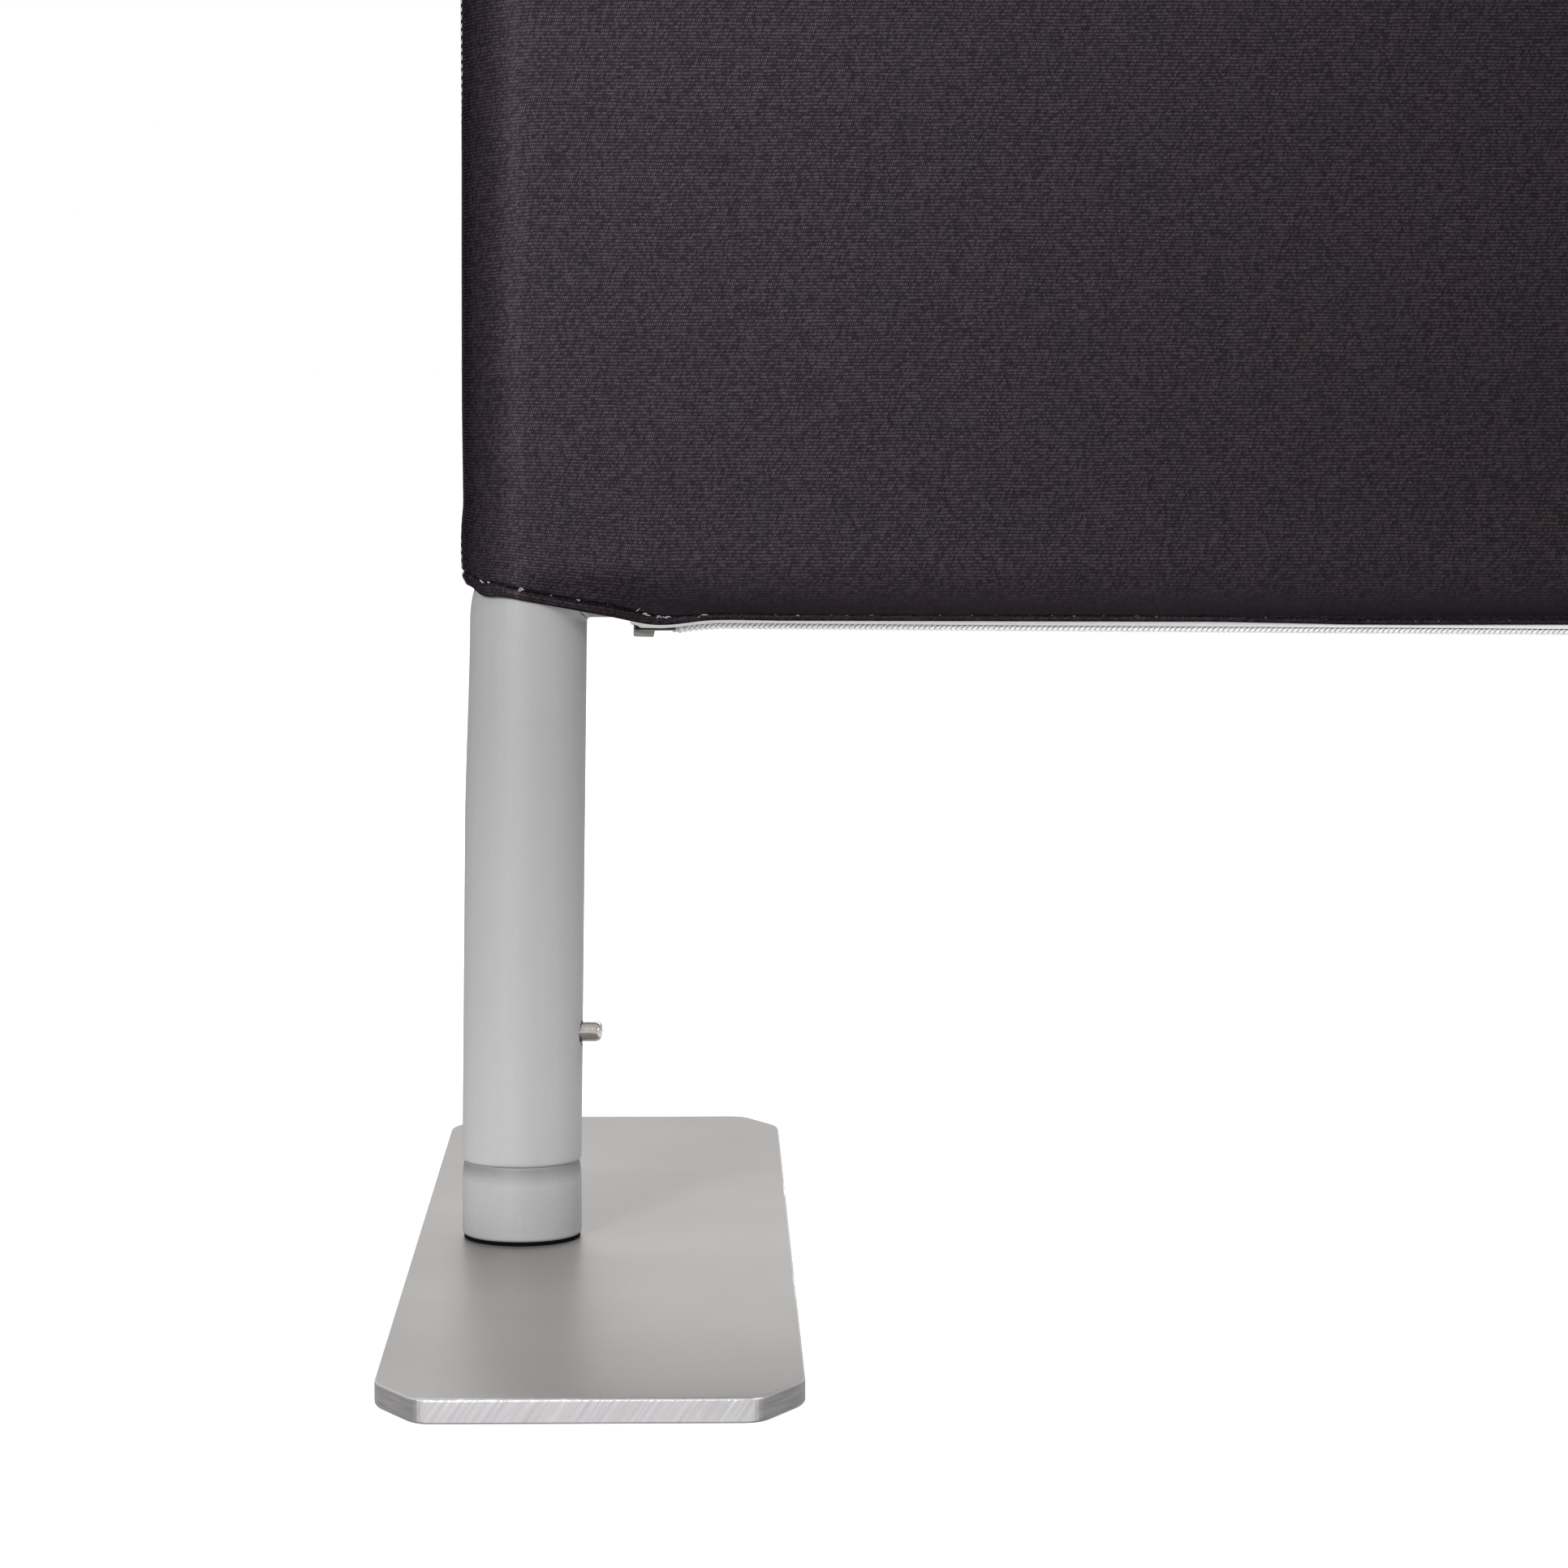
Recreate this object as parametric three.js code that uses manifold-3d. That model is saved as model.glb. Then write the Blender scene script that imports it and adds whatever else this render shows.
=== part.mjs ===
// Cafe barrier: a zipped stretch-fabric cover over a knock-down frame of aluminium tube, which plugs on to
// two flat steel base plates. Millimetres. X runs along the width, -Y is the front and +Z is up; the origin
// is on the floor, midway between the two feet.

import * as THREE from "three";
import { mergeVertices, toCreasedNormals } from "three/addons/utils/BufferGeometryUtils.js";
import Module from "manifold-3d";

const wasm = await Module();
wasm.setup();

// Frame
const FRAME_WIDTH = 1500; // over the outer sides of the two uprights
const FRAME_HEIGHT = 1000; // floor to the top of the top rail
const RAIL_UNDERSIDE = 172.5; // floor to the underside of the bottom rail
const TUBE_DIAMETER = 32;
const TUBE_WALL = 1.5;
const BEND_INSIDE_RADIUS = 1; // the corners are folded almost shut
const BEND_FLAT_SHARE = 0.94; // the outer half of the tube is drawn in by the fold
const BEND_FLAT_REACH = 55; // length of tube over which that fades out
const NOTCH_WIDTH = 0.5; // slit left where the inner side of the fold closes
const NOTCH_DEPTH = 2.6;
const ARM_LENGTH = 350; // upright's axis to the cut end of a corner's arm
const END_GAP = 0.3; // between the cut ends of two tubes
const FIT_GAP = 0.3; // between a piece and the bore or seat that holds it
const LEG_END_ROUND = 1;
const LEG_SPLAY = 2; // foot of the leg outside the upright's axis, as its play on the spigot allows

// Stub welded on the lower corner, which carries the upright
const STUB_HEIGHT = 35; // its top above the rail's underside
const STUB_SKIRT = 11; // its trimmed lower edge above the rail's underside

// Sleeves inside the tube joints
const SLEEVE_WALL = 2;
const SLEEVE_REACH = 60; // to each side of a rail joint, and up the upright
const SLEEVE_BUTTON_OFFSET = 30; // joint to button
const RIVET_OFFSET = 20; // joint to rivet
const RIVET_DIAMETER = 3.2;
const RIVET_HEAD_DIAMETER = 6;
const RIVET_HEAD_HEIGHT = 1;

// Snap buttons
const BUTTON_DIAMETER = 5.8;
const BUTTON_PROUD = 5.3; // outside the tube
const BUTTON_TIP_ROUND = 1.6;
const BUTTON_FLANGE_DIAMETER = 8;
const BUTTON_FLANGE_THICKNESS = 1;
const BUTTON_HOLE_DIAMETER = 7.2;
const FOOT_BUTTON_HEIGHT = 35; // above the lower end of the leg
const SPRING_LENGTH = 28;
const SPRING_WIDTH = 6;
const SPRING_LEAF = 0.6;
const SPRING_LINE_SHARES = [
  [-1, 0.15],
  [-0.8, -0.4],
  [-0.4, -0.88],
  [0, -1],
  [0.4, -0.88],
  [0.8, -0.4],
  [1, 0.1],
]; // across the sleeve, and along it

// Feet
const PLATE_WIDTH = 100;
const PLATE_DEPTH = 400;
const PLATE_THICKNESS = 6;
const PLATE_MARGIN = 28; // leg axis to the plate's outer edge
const PLATE_CLIP_X = 10.5;
const PLATE_CLIP_Y = 19;
const PLATE_CORNER_ROUND = 3;
const PLATE_BEVEL = 0.8;
const GASKET_THICKNESS = 1;
const GASKET_INSET = 0.4; // gasket's edge inside the collar's
const COLLAR_HEIGHT = 20;
const COLLAR_SHOULDER_HEIGHT = 7;
const COLLAR_SHOULDER_DRAW = 0.9;
const COLLAR_FOOT_ROUND = 1;
const SPIGOT_LENGTH = 50;
const SPIGOT_GAP = 0.9; // play round the spigot, which lets the leg lean
const SPIGOT_CHAMFER = 1.2;
const SPIGOT_FLOOR = 1.5; // spigot's bore starts this far above the collar
const SCREW_DIAMETER = 8;
const SCREW_LENGTH = 20;
const SCREW_HEAD_DIAMETER = 15.8;
const SCREW_HEAD_HEIGHT = 4.2;
const SCREW_RECESS = 0.4; // head below the plate's underside
const SCREW_SOCKET = 5; // across flats
const SCREW_SOCKET_DEPTH = 2.8;

// Cover
const COVER_GAP = 0.4; // to the tubes
const COVER_THICKNESS = 0.8;
const SEAM_GAP = 0.3; // between the front and the back panel
const HEM_SETBACK = 7.5; // hem's edge to the middle of the rail
const LEG_OPENING_RISE = 10.5; // hem above the rail's underside at the side seam
const LEG_OPENING_REACH = 33; // upright's axis to where the hem is level
const LOWER_CORNER_RADIUS = 1; // of the line that the cover is offset from

// Zip
const ZIP_MARGIN = 27.7; // upright's axis to the end of the tape
const TAPE_THICKNESS = 0.4;
const TAPE_FLAT = 5; // half-width of the level stretch
const TAPE_EDGE = 9; // half-width over both tapes
const COIL_WIDTH = 2.9; // of one half
const COIL_HEIGHT = 1.3;
const COIL_GAP = 1.2; // between the two halves
const STOP_LENGTH = 0.8;
const STOP_HEIGHT = 0.8;
const SLIDER_LENGTH = 11.2;
const SLIDER_FLARE = 0.5; // shoulders wider than the tail, on each side
const SLIDER_NOSE_WIDTH = 4.4;
const SLIDER_PLATE = 0.65;
const SLIDER_RAIL_GAP = 0.35;
const SLIDER_NECK_WIDTH = 0.6;
const SLIDER_NECK_LENGTH = 3;
const SLIDER_RIM = 0.55;
const CROWN_LENGTH = 5.6;
const CROWN_WIDTH = 1.8;
const CROWN_HEIGHT = 1.3;
const CROWN_EYE_LENGTH = 3;
const CROWN_EYE_HEIGHT = 0.6;

// Facets
const TUBE_SIDES = 24;
const SLEEVE_SIDES = 18;
const BUTTON_SIDES = 12;
const RIVET_SIDES = 8;
const BEND_STEPS = 6;
const HEX_SIDES = 6;
const CORNER_STEPS = 5;
const WRAP_STEPS = 6;
const ROUND_STEPS = 3;
const SPRING_STEPS = 9;
const CREASE_ANGLE = Math.PI / 5;
const MERGE_TOLERANCE = 0.02;

// Sizes that follow
const CUT = TUBE_DIAMETER; // overrun of a cutting tool
const HALF = 0.5;
const QUARTER_TURN = Math.PI / 2;
const TUBE_RADIUS = TUBE_DIAMETER * HALF;
const BORE_RADIUS = TUBE_RADIUS - TUBE_WALL;
const SLEEVE_RADIUS = BORE_RADIUS - FIT_GAP;
const SLEEVE_BORE_RADIUS = SLEEVE_RADIUS - SLEEVE_WALL;
const BEND_RADIUS = TUBE_RADIUS + BEND_INSIDE_RADIUS;
const UPRIGHT_X = FRAME_WIDTH * HALF - TUBE_RADIUS;
const RAIL_AXIS = RAIL_UNDERSIDE + TUBE_RADIUS;
const TOP_AXIS = FRAME_HEIGHT - TUBE_RADIUS;
const ARM_END_X = -UPRIGHT_X + ARM_LENGTH;
const STUB_TOP = RAIL_UNDERSIDE + STUB_HEIGHT;
const COLLAR_FOOT = PLATE_THICKNESS + GASKET_THICKNESS;
const LEG_FOOT = COLLAR_FOOT + COLLAR_HEIGHT;
const FOOT_X = -UPRIGHT_X - LEG_SPLAY; // left-hand foot's axis
const FOOT_BUTTON_Z = LEG_FOOT + FOOT_BUTTON_HEIGHT;
const SPIGOT_RADIUS = BORE_RADIUS - SPIGOT_GAP;
const SPIGOT_BORE_RADIUS = SPIGOT_RADIUS - SLEEVE_WALL;
const UPRIGHT_BUTTON_Z = STUB_TOP + SLEEVE_BUTTON_OFFSET;
const BUTTON_RADIUS = BUTTON_DIAMETER * HALF;
const COVER_INSIDE = TUBE_RADIUS + COVER_GAP;
const COVER_OUTSIDE = COVER_INSIDE + COVER_THICKNESS;
const ZIP_END_X = UPRIGHT_X - ZIP_MARGIN;

// Zip levels, down from the rail's underside
const SLIDER_TOP = RAIL_UNDERSIDE - SLIDER_RAIL_GAP;
const TAPE_TOP = SLIDER_TOP - SLIDER_PLATE - FIT_GAP;
const COIL_TOP = TAPE_TOP - TAPE_THICKNESS;
const COIL_BOTTOM = COIL_TOP - COIL_HEIGHT;
const SLIDER_LOWER_PLATE_TOP = COIL_BOTTOM - FIT_GAP;
const SLIDER_LOWER_PLATE_BOTTOM = SLIDER_LOWER_PLATE_TOP - SLIDER_PLATE;
const SLIDER_HALF_TAIL = COIL_GAP * HALF + COIL_WIDTH + FIT_GAP + SLIDER_RIM;
const SLIDER_HALF_WIDTH = SLIDER_HALF_TAIL + SLIDER_FLARE;

const UP = new THREE.Vector3(0, 0, 1);
const DEEP = new THREE.Vector3(0, 1, 0);
const INWARD = new THREE.Vector3(1, 0, 0); // on the left-hand side, which the right-hand side mirrors

const MATERIALS = {
  tube: new THREE.MeshStandardMaterial({ color: 0xb7b5b6, roughness: 0.42, metalness: 0.9 }),
  sleeve: new THREE.MeshStandardMaterial({ color: 0xc4c4c6, roughness: 0.35, metalness: 0.95 }),
  plate: new THREE.MeshStandardMaterial({ color: 0xb0aeac, roughness: 0.3, metalness: 1 }),
  button: new THREE.MeshStandardMaterial({ color: 0xd4d0cc, roughness: 0.12, metalness: 1 }),
  spring: new THREE.MeshStandardMaterial({ color: 0x8f9196, roughness: 0.3, metalness: 1 }),
  screw: new THREE.MeshStandardMaterial({ color: 0x9a9a9c, roughness: 0.35, metalness: 1 }),
  rubber: new THREE.MeshStandardMaterial({ color: 0x0c0c0d, roughness: 0.75, metalness: 0 }),
  fabric: new THREE.MeshStandardMaterial({ color: 0x3f383d, roughness: 0.9, metalness: 0 }),
  tape: new THREE.MeshStandardMaterial({ color: 0xe2e1df, roughness: 0.7, metalness: 0 }),
  slider: new THREE.MeshStandardMaterial({ color: 0x9c9896, roughness: 0.28, metalness: 1 }),
};

// Solids

function solidOf(geometry) {
  const bare = geometry.clone();
  bare.deleteAttribute("normal");
  bare.deleteAttribute("uv");
  const merged = mergeVertices(bare);
  return new wasm.Manifold(
    new wasm.Mesh({
      numProp: 3,
      vertProperties: merged.attributes.position.array,
      triVerts: new Uint32Array(merged.index.array),
    }),
  );
}

function geometryOf(solid) {
  const mesh = solid.getMesh();
  const geometry = new THREE.BufferGeometry();
  geometry.setAttribute("position", new THREE.BufferAttribute(mesh.vertProperties, 3));
  geometry.setIndex(new THREE.BufferAttribute(mesh.triVerts, 1));
  return geometry;
}

function cut(body, ...tools) {
  return geometryOf(tools.reduce((rest, tool) => rest.subtract(solidOf(tool)), solidOf(body)));
}

function joined(first, ...others) {
  return geometryOf(others.reduce((whole, other) => whole.add(solidOf(other)), solidOf(first)));
}

// What is left of a cut piece once its offcuts have fallen away, with level facets merged.
function withoutOffcuts(geometry) {
  const bodies = solidOf(geometry).decompose();
  const largest = bodies.reduce((best, body) => (body.volume() > best.volume() ? body : best));
  return geometryOf(largest.asOriginal().simplify(MERGE_TOLERANCE));
}

// A closed surface through rings of equally many points, counted round their direction of travel. A hollow
// piece's rings come back along its bore and join up; a solid piece's first and last rings are capped.
function skin(rings, hollow) {
  const count = rings[0].length;
  const points = rings.flat().flatMap((point) => point.toArray());
  const faces = [];
  const spans = hollow ? rings.length : rings.length - 1;
  for (let span = 0; span < spans; span++) {
    const near = span * count;
    const far = ((span + 1) % rings.length) * count;
    for (let side = 0; side < count; side++) {
      const next = (side + 1) % count;
      faces.push(near + side, near + next, far + side);
      faces.push(near + next, far + next, far + side);
    }
  }
  if (!hollow) {
    const last = (rings.length - 1) * count;
    for (let side = 1; side < count - 1; side++) {
      faces.push(0, side + 1, side);
      faces.push(last, last + side, last + side + 1);
    }
  }
  const geometry = new THREE.BufferGeometry();
  geometry.setAttribute("position", new THREE.Float32BufferAttribute(points, 3));
  geometry.setIndex(faces);
  return geometry;
}

// A point of travel for a tube that lies in the XZ plane: its centre, its heading, and how far its
// section reaches on the inner and deep sides (reach) and on the outer side of a bend (outerReach).
function station(x, z, heading, reach, outerReach = reach) {
  return { centre: new THREE.Vector3(x, 0, z), heading, reach, outerReach };
}

function section({ centre, heading, reach, outerReach }, sides, inset) {
  const inner = new THREE.Vector3().crossVectors(DEEP, heading);
  return Array.from({ length: sides }, (_, side) => {
    const angle = (2 * Math.PI * side) / sides;
    const across = Math.cos(angle) * ((Math.cos(angle) < 0 ? outerReach : reach) - inset);
    const deep = Math.sin(angle) * (reach - inset);
    return centre.clone().addScaledVector(inner, across).addScaledVector(DEEP, deep);
  });
}

function tubeAlong(stations, wall, sides = TUBE_SIDES) {
  const outside = stations.map((each) => section(each, sides, 0));
  const bore = stations.map((each) => section({ ...each, ...each.bore }, sides, wall));
  return skin([...outside, ...bore.reverse()], true);
}

function rodAlong(stations, sides = TUBE_SIDES) {
  return skin(
    stations.map((each) => section(each, sides, 0)),
    false,
  );
}

// A straight tube from one station's place to another's.
function straightTube(start, end, heading, radius, wall, sides) {
  const ends = [start, end].map(([x, z]) => station(x, z, heading, radius));
  return tubeAlong(ends, wall, sides);
}

// A turned piece about +Z from a profile of [radius, height] points, listed from its foot to its top.
function turned(profile, sides) {
  const points = profile.map(([radius, height]) => new THREE.Vector2(radius, height));
  return new THREE.LatheGeometry(points, sides).rotateX(QUARTER_TURN);
}

// Points of a quarter ellipse that starts along the profile's rise and ends level, for a rounded top edge.
function roundedEdge(radius, height, inward, drop, steps = ROUND_STEPS) {
  return Array.from({ length: steps + 1 }, (_, step) => {
    const angle = (QUARTER_TURN * step) / steps;
    return [radius - inward * (1 - Math.cos(angle)), height - drop * (1 - Math.sin(angle))];
  });
}

// A round cutter along a direction, from a point on it outwards.
function drill(radius, x, z, direction, sides = BUTTON_SIDES) {
  const tool = new THREE.CylinderGeometry(radius, radius, CUT, sides).translate(0, CUT * HALF, 0);
  tool.applyQuaternion(new THREE.Quaternion().setFromUnitVectors(DEEP, direction));
  return tool.translate(x, 0, z);
}

function block(lengthX, lengthY, lengthZ, x, y, z) {
  return new THREE.BoxGeometry(lengthX, lengthY, lengthZ).translate(x, y, z);
}

// An outline in the XZ plane, extruded through the depth from one Y to another.
function extrudedThrough(shape, fromY, toY) {
  const solid = new THREE.ExtrudeGeometry(shape, { depth: toY - fromY, bevelEnabled: false });
  return solid.rotateX(QUARTER_TURN).translate(0, toY, 0);
}

// An outline in the YZ plane, extruded along the width from one X to another.
function extrudedAlong(shape, fromX, toX) {
  const solid = new THREE.ExtrudeGeometry(shape, { depth: toX - fromX, bevelEnabled: false });
  return solid.rotateX(QUARTER_TURN).rotateZ(QUARTER_TURN).translate(fromX, 0, 0);
}

// Frame tubes

// The left-hand bend from the upright's axis to a rail's axis.
function bendStations(railAxis, reach, outerReach) {
  return Array.from({ length: BEND_STEPS + 1 }, (_, step) => {
    const angle = (QUARTER_TURN * step) / BEND_STEPS;
    const x = -UPRIGHT_X + BEND_RADIUS * (1 - Math.cos(angle));
    const z = railAxis - BEND_RADIUS * (1 - Math.sin(angle));
    return station(x, z, new THREE.Vector3(Math.sin(angle), 0, Math.cos(angle)), reach, outerReach);
  });
}

// A left-hand corner: up from its foot to the fold on the upright's axis, and out along the arm.
function cornerStations(foot, railAxis, extra = 0) {
  const reach = TUBE_RADIUS + extra;
  const outerReach = TUBE_RADIUS * BEND_FLAT_SHARE + extra;
  const bendFoot = railAxis - BEND_RADIUS;
  const bendEnd = -UPRIGHT_X + BEND_RADIUS;
  const start = foot.at(-1).centre;
  const fadeShare = BEND_FLAT_REACH / (bendFoot - start.z);
  const fadeX = THREE.MathUtils.lerp(-UPRIGHT_X, start.x, fadeShare);
  return [
    ...foot,
    station(fadeX, bendFoot - BEND_FLAT_REACH, UP, reach),
    ...bendStations(railAxis, reach, outerReach),
    station(bendEnd + BEND_FLAT_REACH, railAxis, INWARD, reach),
    station(ARM_END_X, railAxis, INWARD, reach),
  ];
}

function roundedTubeEnd(z) {
  const bore = { reach: TUBE_RADIUS, outerReach: TUBE_RADIUS };
  return roundedEdge(TUBE_RADIUS, z, LEG_END_ROUND, -LEG_END_ROUND)
    .reverse()
    .map(([radius, height]) => ({ ...station(FOOT_X, height, UP, radius), bore }));
}

// The slit on the mitre line of the fold, open to the inner side of the corner.
function notch(railAxis) {
  const reach = BEND_INSIDE_RADIUS + NOTCH_DEPTH;
  return new THREE.BoxGeometry(reach * 2, TUBE_DIAMETER + CUT, NOTCH_WIDTH)
    .rotateY(QUARTER_TURN * HALF)
    .translate(-UPRIGHT_X + BEND_RADIUS, 0, railAxis - BEND_RADIUS);
}

function lowerCorner() {
  const tube = tubeAlong(cornerStations(roundedTubeEnd(LEG_FOOT), RAIL_AXIS), TUBE_WALL);
  return cut(
    tube,
    drill(BUTTON_HOLE_DIAMETER * HALF, FOOT_X, FOOT_BUTTON_Z, INWARD),
    drill(RIVET_DIAMETER * HALF + FIT_GAP, ARM_END_X - RIVET_OFFSET, RAIL_AXIS, UP, RIVET_SIDES),
    notch(RAIL_AXIS),
  );
}

function upperCorner() {
  const foot = [station(-UPRIGHT_X, STUB_TOP + END_GAP, UP, TUBE_RADIUS)];
  const tube = tubeAlong(cornerStations(foot, TOP_AXIS), TUBE_WALL);
  const down = UP.clone().negate();
  return cut(
    tube,
    drill(BUTTON_HOLE_DIAMETER * HALF, -UPRIGHT_X, UPRIGHT_BUTTON_Z, INWARD),
    drill(RIVET_DIAMETER * HALF + FIT_GAP, ARM_END_X - RIVET_OFFSET, TOP_AXIS, down, RIVET_SIDES),
    notch(TOP_AXIS),
  );
}

// The folded corner's own outside, one fitting gap larger, which copes what is welded on it.
function cornerCope() {
  const low = RAIL_UNDERSIDE - TUBE_DIAMETER - BEND_FLAT_REACH;
  const foot = [station(-UPRIGHT_X, low, UP, TUBE_RADIUS + FIT_GAP)];
  return rodAlong(cornerStations(foot, RAIL_AXIS, FIT_GAP));
}

function cornerStub() {
  const skirt = [-UPRIGHT_X, RAIL_UNDERSIDE + STUB_SKIRT];
  const stub = straightTube(skirt, [-UPRIGHT_X, STUB_TOP], UP, TUBE_RADIUS, TUBE_WALL, TUBE_SIDES);
  return cut(stub, cornerCope());
}

function cornerSleeve() {
  const skirt = [-UPRIGHT_X, RAIL_UNDERSIDE + STUB_SKIRT];
  const top = [-UPRIGHT_X, STUB_TOP + SLEEVE_REACH];
  const sleeve = straightTube(skirt, top, UP, SLEEVE_RADIUS, SLEEVE_WALL, SLEEVE_SIDES);
  return cut(sleeve, cornerCope(), drill(BUTTON_RADIUS + FIT_GAP, -UPRIGHT_X, UPRIGHT_BUTTON_Z, INWARD));
}

// A sleeve riveted in the end of a corner's arm, with its snap button in the middle rail.
function railSleeve(axis, inside) {
  const start = [ARM_END_X - SLEEVE_REACH, axis];
  const end = [ARM_END_X + SLEEVE_REACH, axis];
  return cut(
    straightTube(start, end, INWARD, SLEEVE_RADIUS, SLEEVE_WALL, SLEEVE_SIDES),
    drill(BUTTON_RADIUS + FIT_GAP, ARM_END_X + SLEEVE_BUTTON_OFFSET, axis, inside),
    drill(RIVET_DIAMETER * HALF + FIT_GAP, ARM_END_X - RIVET_OFFSET, axis, inside, RIVET_SIDES),
  );
}

function middleRail(axis, inside) {
  const start = ARM_END_X + END_GAP;
  const buttonX = ARM_END_X + SLEEVE_BUTTON_OFFSET;
  const holes = [buttonX, -buttonX].map((x) => drill(BUTTON_HOLE_DIAMETER * HALF, x, axis, inside));
  return cut(
    straightTube([start, axis], [-start, axis], INWARD, TUBE_RADIUS, TUBE_WALL, TUBE_SIDES),
    ...holes,
  );
}

// Rivet, pointing along +Z from the tube's axis: a shank through both walls under a domed head.
function rivet() {
  const tail = SLEEVE_BORE_RADIUS - FIT_GAP;
  const headFoot = TUBE_RADIUS + FIT_GAP;
  const head = roundedEdge(
    RIVET_HEAD_DIAMETER * HALF,
    headFoot + RIVET_HEAD_HEIGHT,
    RIVET_HEAD_DIAMETER * HALF,
    RIVET_HEAD_HEIGHT,
  );
  return turned(
    [[0, tail], [RIVET_DIAMETER * HALF, tail], [RIVET_DIAMETER * HALF, headFoot], ...head],
    RIVET_SIDES,
  );
}

// Snap locks, pointing along +X from the axis of the bore that holds them, with the tube along Z

// Where a flat piece of some half-width meets the round wall of a bore, one fitting gap short.
function seatIn(bore, halfWidth) {
  return Math.sqrt(bore ** 2 - halfWidth ** 2) - FIT_GAP;
}

function snapButton(bore) {
  const tip = TUBE_RADIUS + BUTTON_PROUD;
  const flange = BUTTON_FLANGE_DIAMETER * HALF;
  const flangeTop = seatIn(bore, flange);
  const profile = [
    [0, flangeTop - BUTTON_FLANGE_THICKNESS],
    [flange, flangeTop - BUTTON_FLANGE_THICKNESS],
    [flange, flangeTop],
    [BUTTON_RADIUS, flangeTop],
    ...roundedEdge(BUTTON_RADIUS, tip, BUTTON_TIP_ROUND, BUTTON_TIP_ROUND),
    [0, tip],
  ];
  return turned(profile, BUTTON_SIDES).rotateY(QUARTER_TURN);
}

// The V-shaped leaf that pushes the button out and braces itself on the far side of the sleeve.
function snapSpring(bore) {
  const halfLeaf = SPRING_LEAF * HALF;
  const flangeTop = seatIn(bore, BUTTON_FLANGE_DIAMETER * HALF);
  const front = flangeTop - BUTTON_FLANGE_THICKNESS - FIT_GAP - halfLeaf;
  const back = seatIn(bore, SPRING_WIDTH * HALF) - halfLeaf;
  const line = new THREE.SplineCurve(
    SPRING_LINE_SHARES.map(
      ([across, along]) => new THREE.Vector2(across * (across < 0 ? back : front), along * SPRING_LENGTH),
    ),
  );
  const steps = Array.from({ length: SPRING_STEPS + 1 }, (_, step) => step / SPRING_STEPS);
  const edge = (side) =>
    steps.map((at) => {
      const heading = line.getTangentAt(at);
      const outward = new THREE.Vector2(-heading.y, heading.x);
      return line.getPointAt(at).addScaledVector(outward, side * halfLeaf);
    });
  const leaf = new THREE.Shape([...edge(1), ...edge(-1).reverse()]);
  return extrudedThrough(leaf, -SPRING_WIDTH * HALF, SPRING_WIDTH * HALF);
}

// Feet

function clippedPlateOutline() {
  const x = PLATE_WIDTH * HALF;
  const y = PLATE_DEPTH * HALF;
  const quarter = [
    [x, y - PLATE_CLIP_Y],
    [x - PLATE_CLIP_X, y],
  ];
  const half = [...quarter, ...quarter.map(([px, py]) => [-px, py]).reverse()];
  const whole = [...half, ...half.map(([px, py]) => [-px, -py])];
  const corners = whole.map(([px, py]) => new THREE.Vector2(px, py));
  const shape = new THREE.Shape();
  corners.forEach((corner, index) => {
    const before = corners.at(index - 1);
    const after = corners[(index + 1) % corners.length];
    const start = before.clone().sub(corner).setLength(PLATE_CORNER_ROUND).add(corner);
    const end = after.clone().sub(corner).setLength(PLATE_CORNER_ROUND).add(corner);
    if (index === 0) shape.moveTo(start.x, start.y);
    else shape.lineTo(start.x, start.y);
    shape.quadraticCurveTo(corner.x, corner.y, end.x, end.y);
  });
  shape.closePath();
  return shape;
}

// The screw's own profile, or the hole for it with a gap all round.
function screwProfile(gap) {
  const head = SCREW_HEAD_DIAMETER * HALF + gap;
  const shank = SCREW_DIAMETER * HALF + gap;
  const foot = SCREW_RECESS;
  const coneTop = foot + SCREW_HEAD_HEIGHT;
  return [
    [0, foot],
    [head, foot],
    [shank, coneTop],
    [shank, foot + SCREW_LENGTH + gap],
    [0, foot + SCREW_LENGTH + gap],
  ];
}

function plateScrew() {
  const socketRadius = (SCREW_SOCKET * HALF) / Math.cos(Math.PI / HEX_SIDES);
  const socket = new THREE.CylinderGeometry(socketRadius, socketRadius, SCREW_SOCKET_DEPTH * 2, HEX_SIDES)
    .rotateX(QUARTER_TURN)
    .translate(0, 0, SCREW_RECESS);
  return cut(turned(screwProfile(0), SLEEVE_SIDES), socket).translate(FOOT_X, 0, 0);
}

function screwHole() {
  const below = screwProfile(FIT_GAP);
  below[0] = [0, -SCREW_RECESS];
  below.splice(1, 0, [SCREW_HEAD_DIAMETER * HALF + FIT_GAP, -SCREW_RECESS]);
  return turned(below, SLEEVE_SIDES);
}

function basePlate() {
  const plate = new THREE.ExtrudeGeometry(clippedPlateOutline(), {
    depth: PLATE_THICKNESS - PLATE_BEVEL * 2,
    bevelThickness: PLATE_BEVEL,
    bevelSize: PLATE_BEVEL,
    bevelOffset: -PLATE_BEVEL,
    bevelSegments: 1,
    curveSegments: ROUND_STEPS,
  }).translate(PLATE_WIDTH * HALF - PLATE_MARGIN, 0, PLATE_BEVEL);
  return cut(plate, screwHole()).translate(FOOT_X, 0, 0);
}

function baseGasket() {
  const edge = TUBE_RADIUS - GASKET_INSET;
  const hole = SCREW_DIAMETER * HALF + FIT_GAP;
  const ring = [
    [hole, PLATE_THICKNESS],
    [edge, PLATE_THICKNESS],
    [edge, COLLAR_FOOT],
    [hole, COLLAR_FOOT],
    [hole, PLATE_THICKNESS],
  ];
  return turned(ring, TUBE_SIDES).translate(FOOT_X, 0, 0);
}

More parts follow.
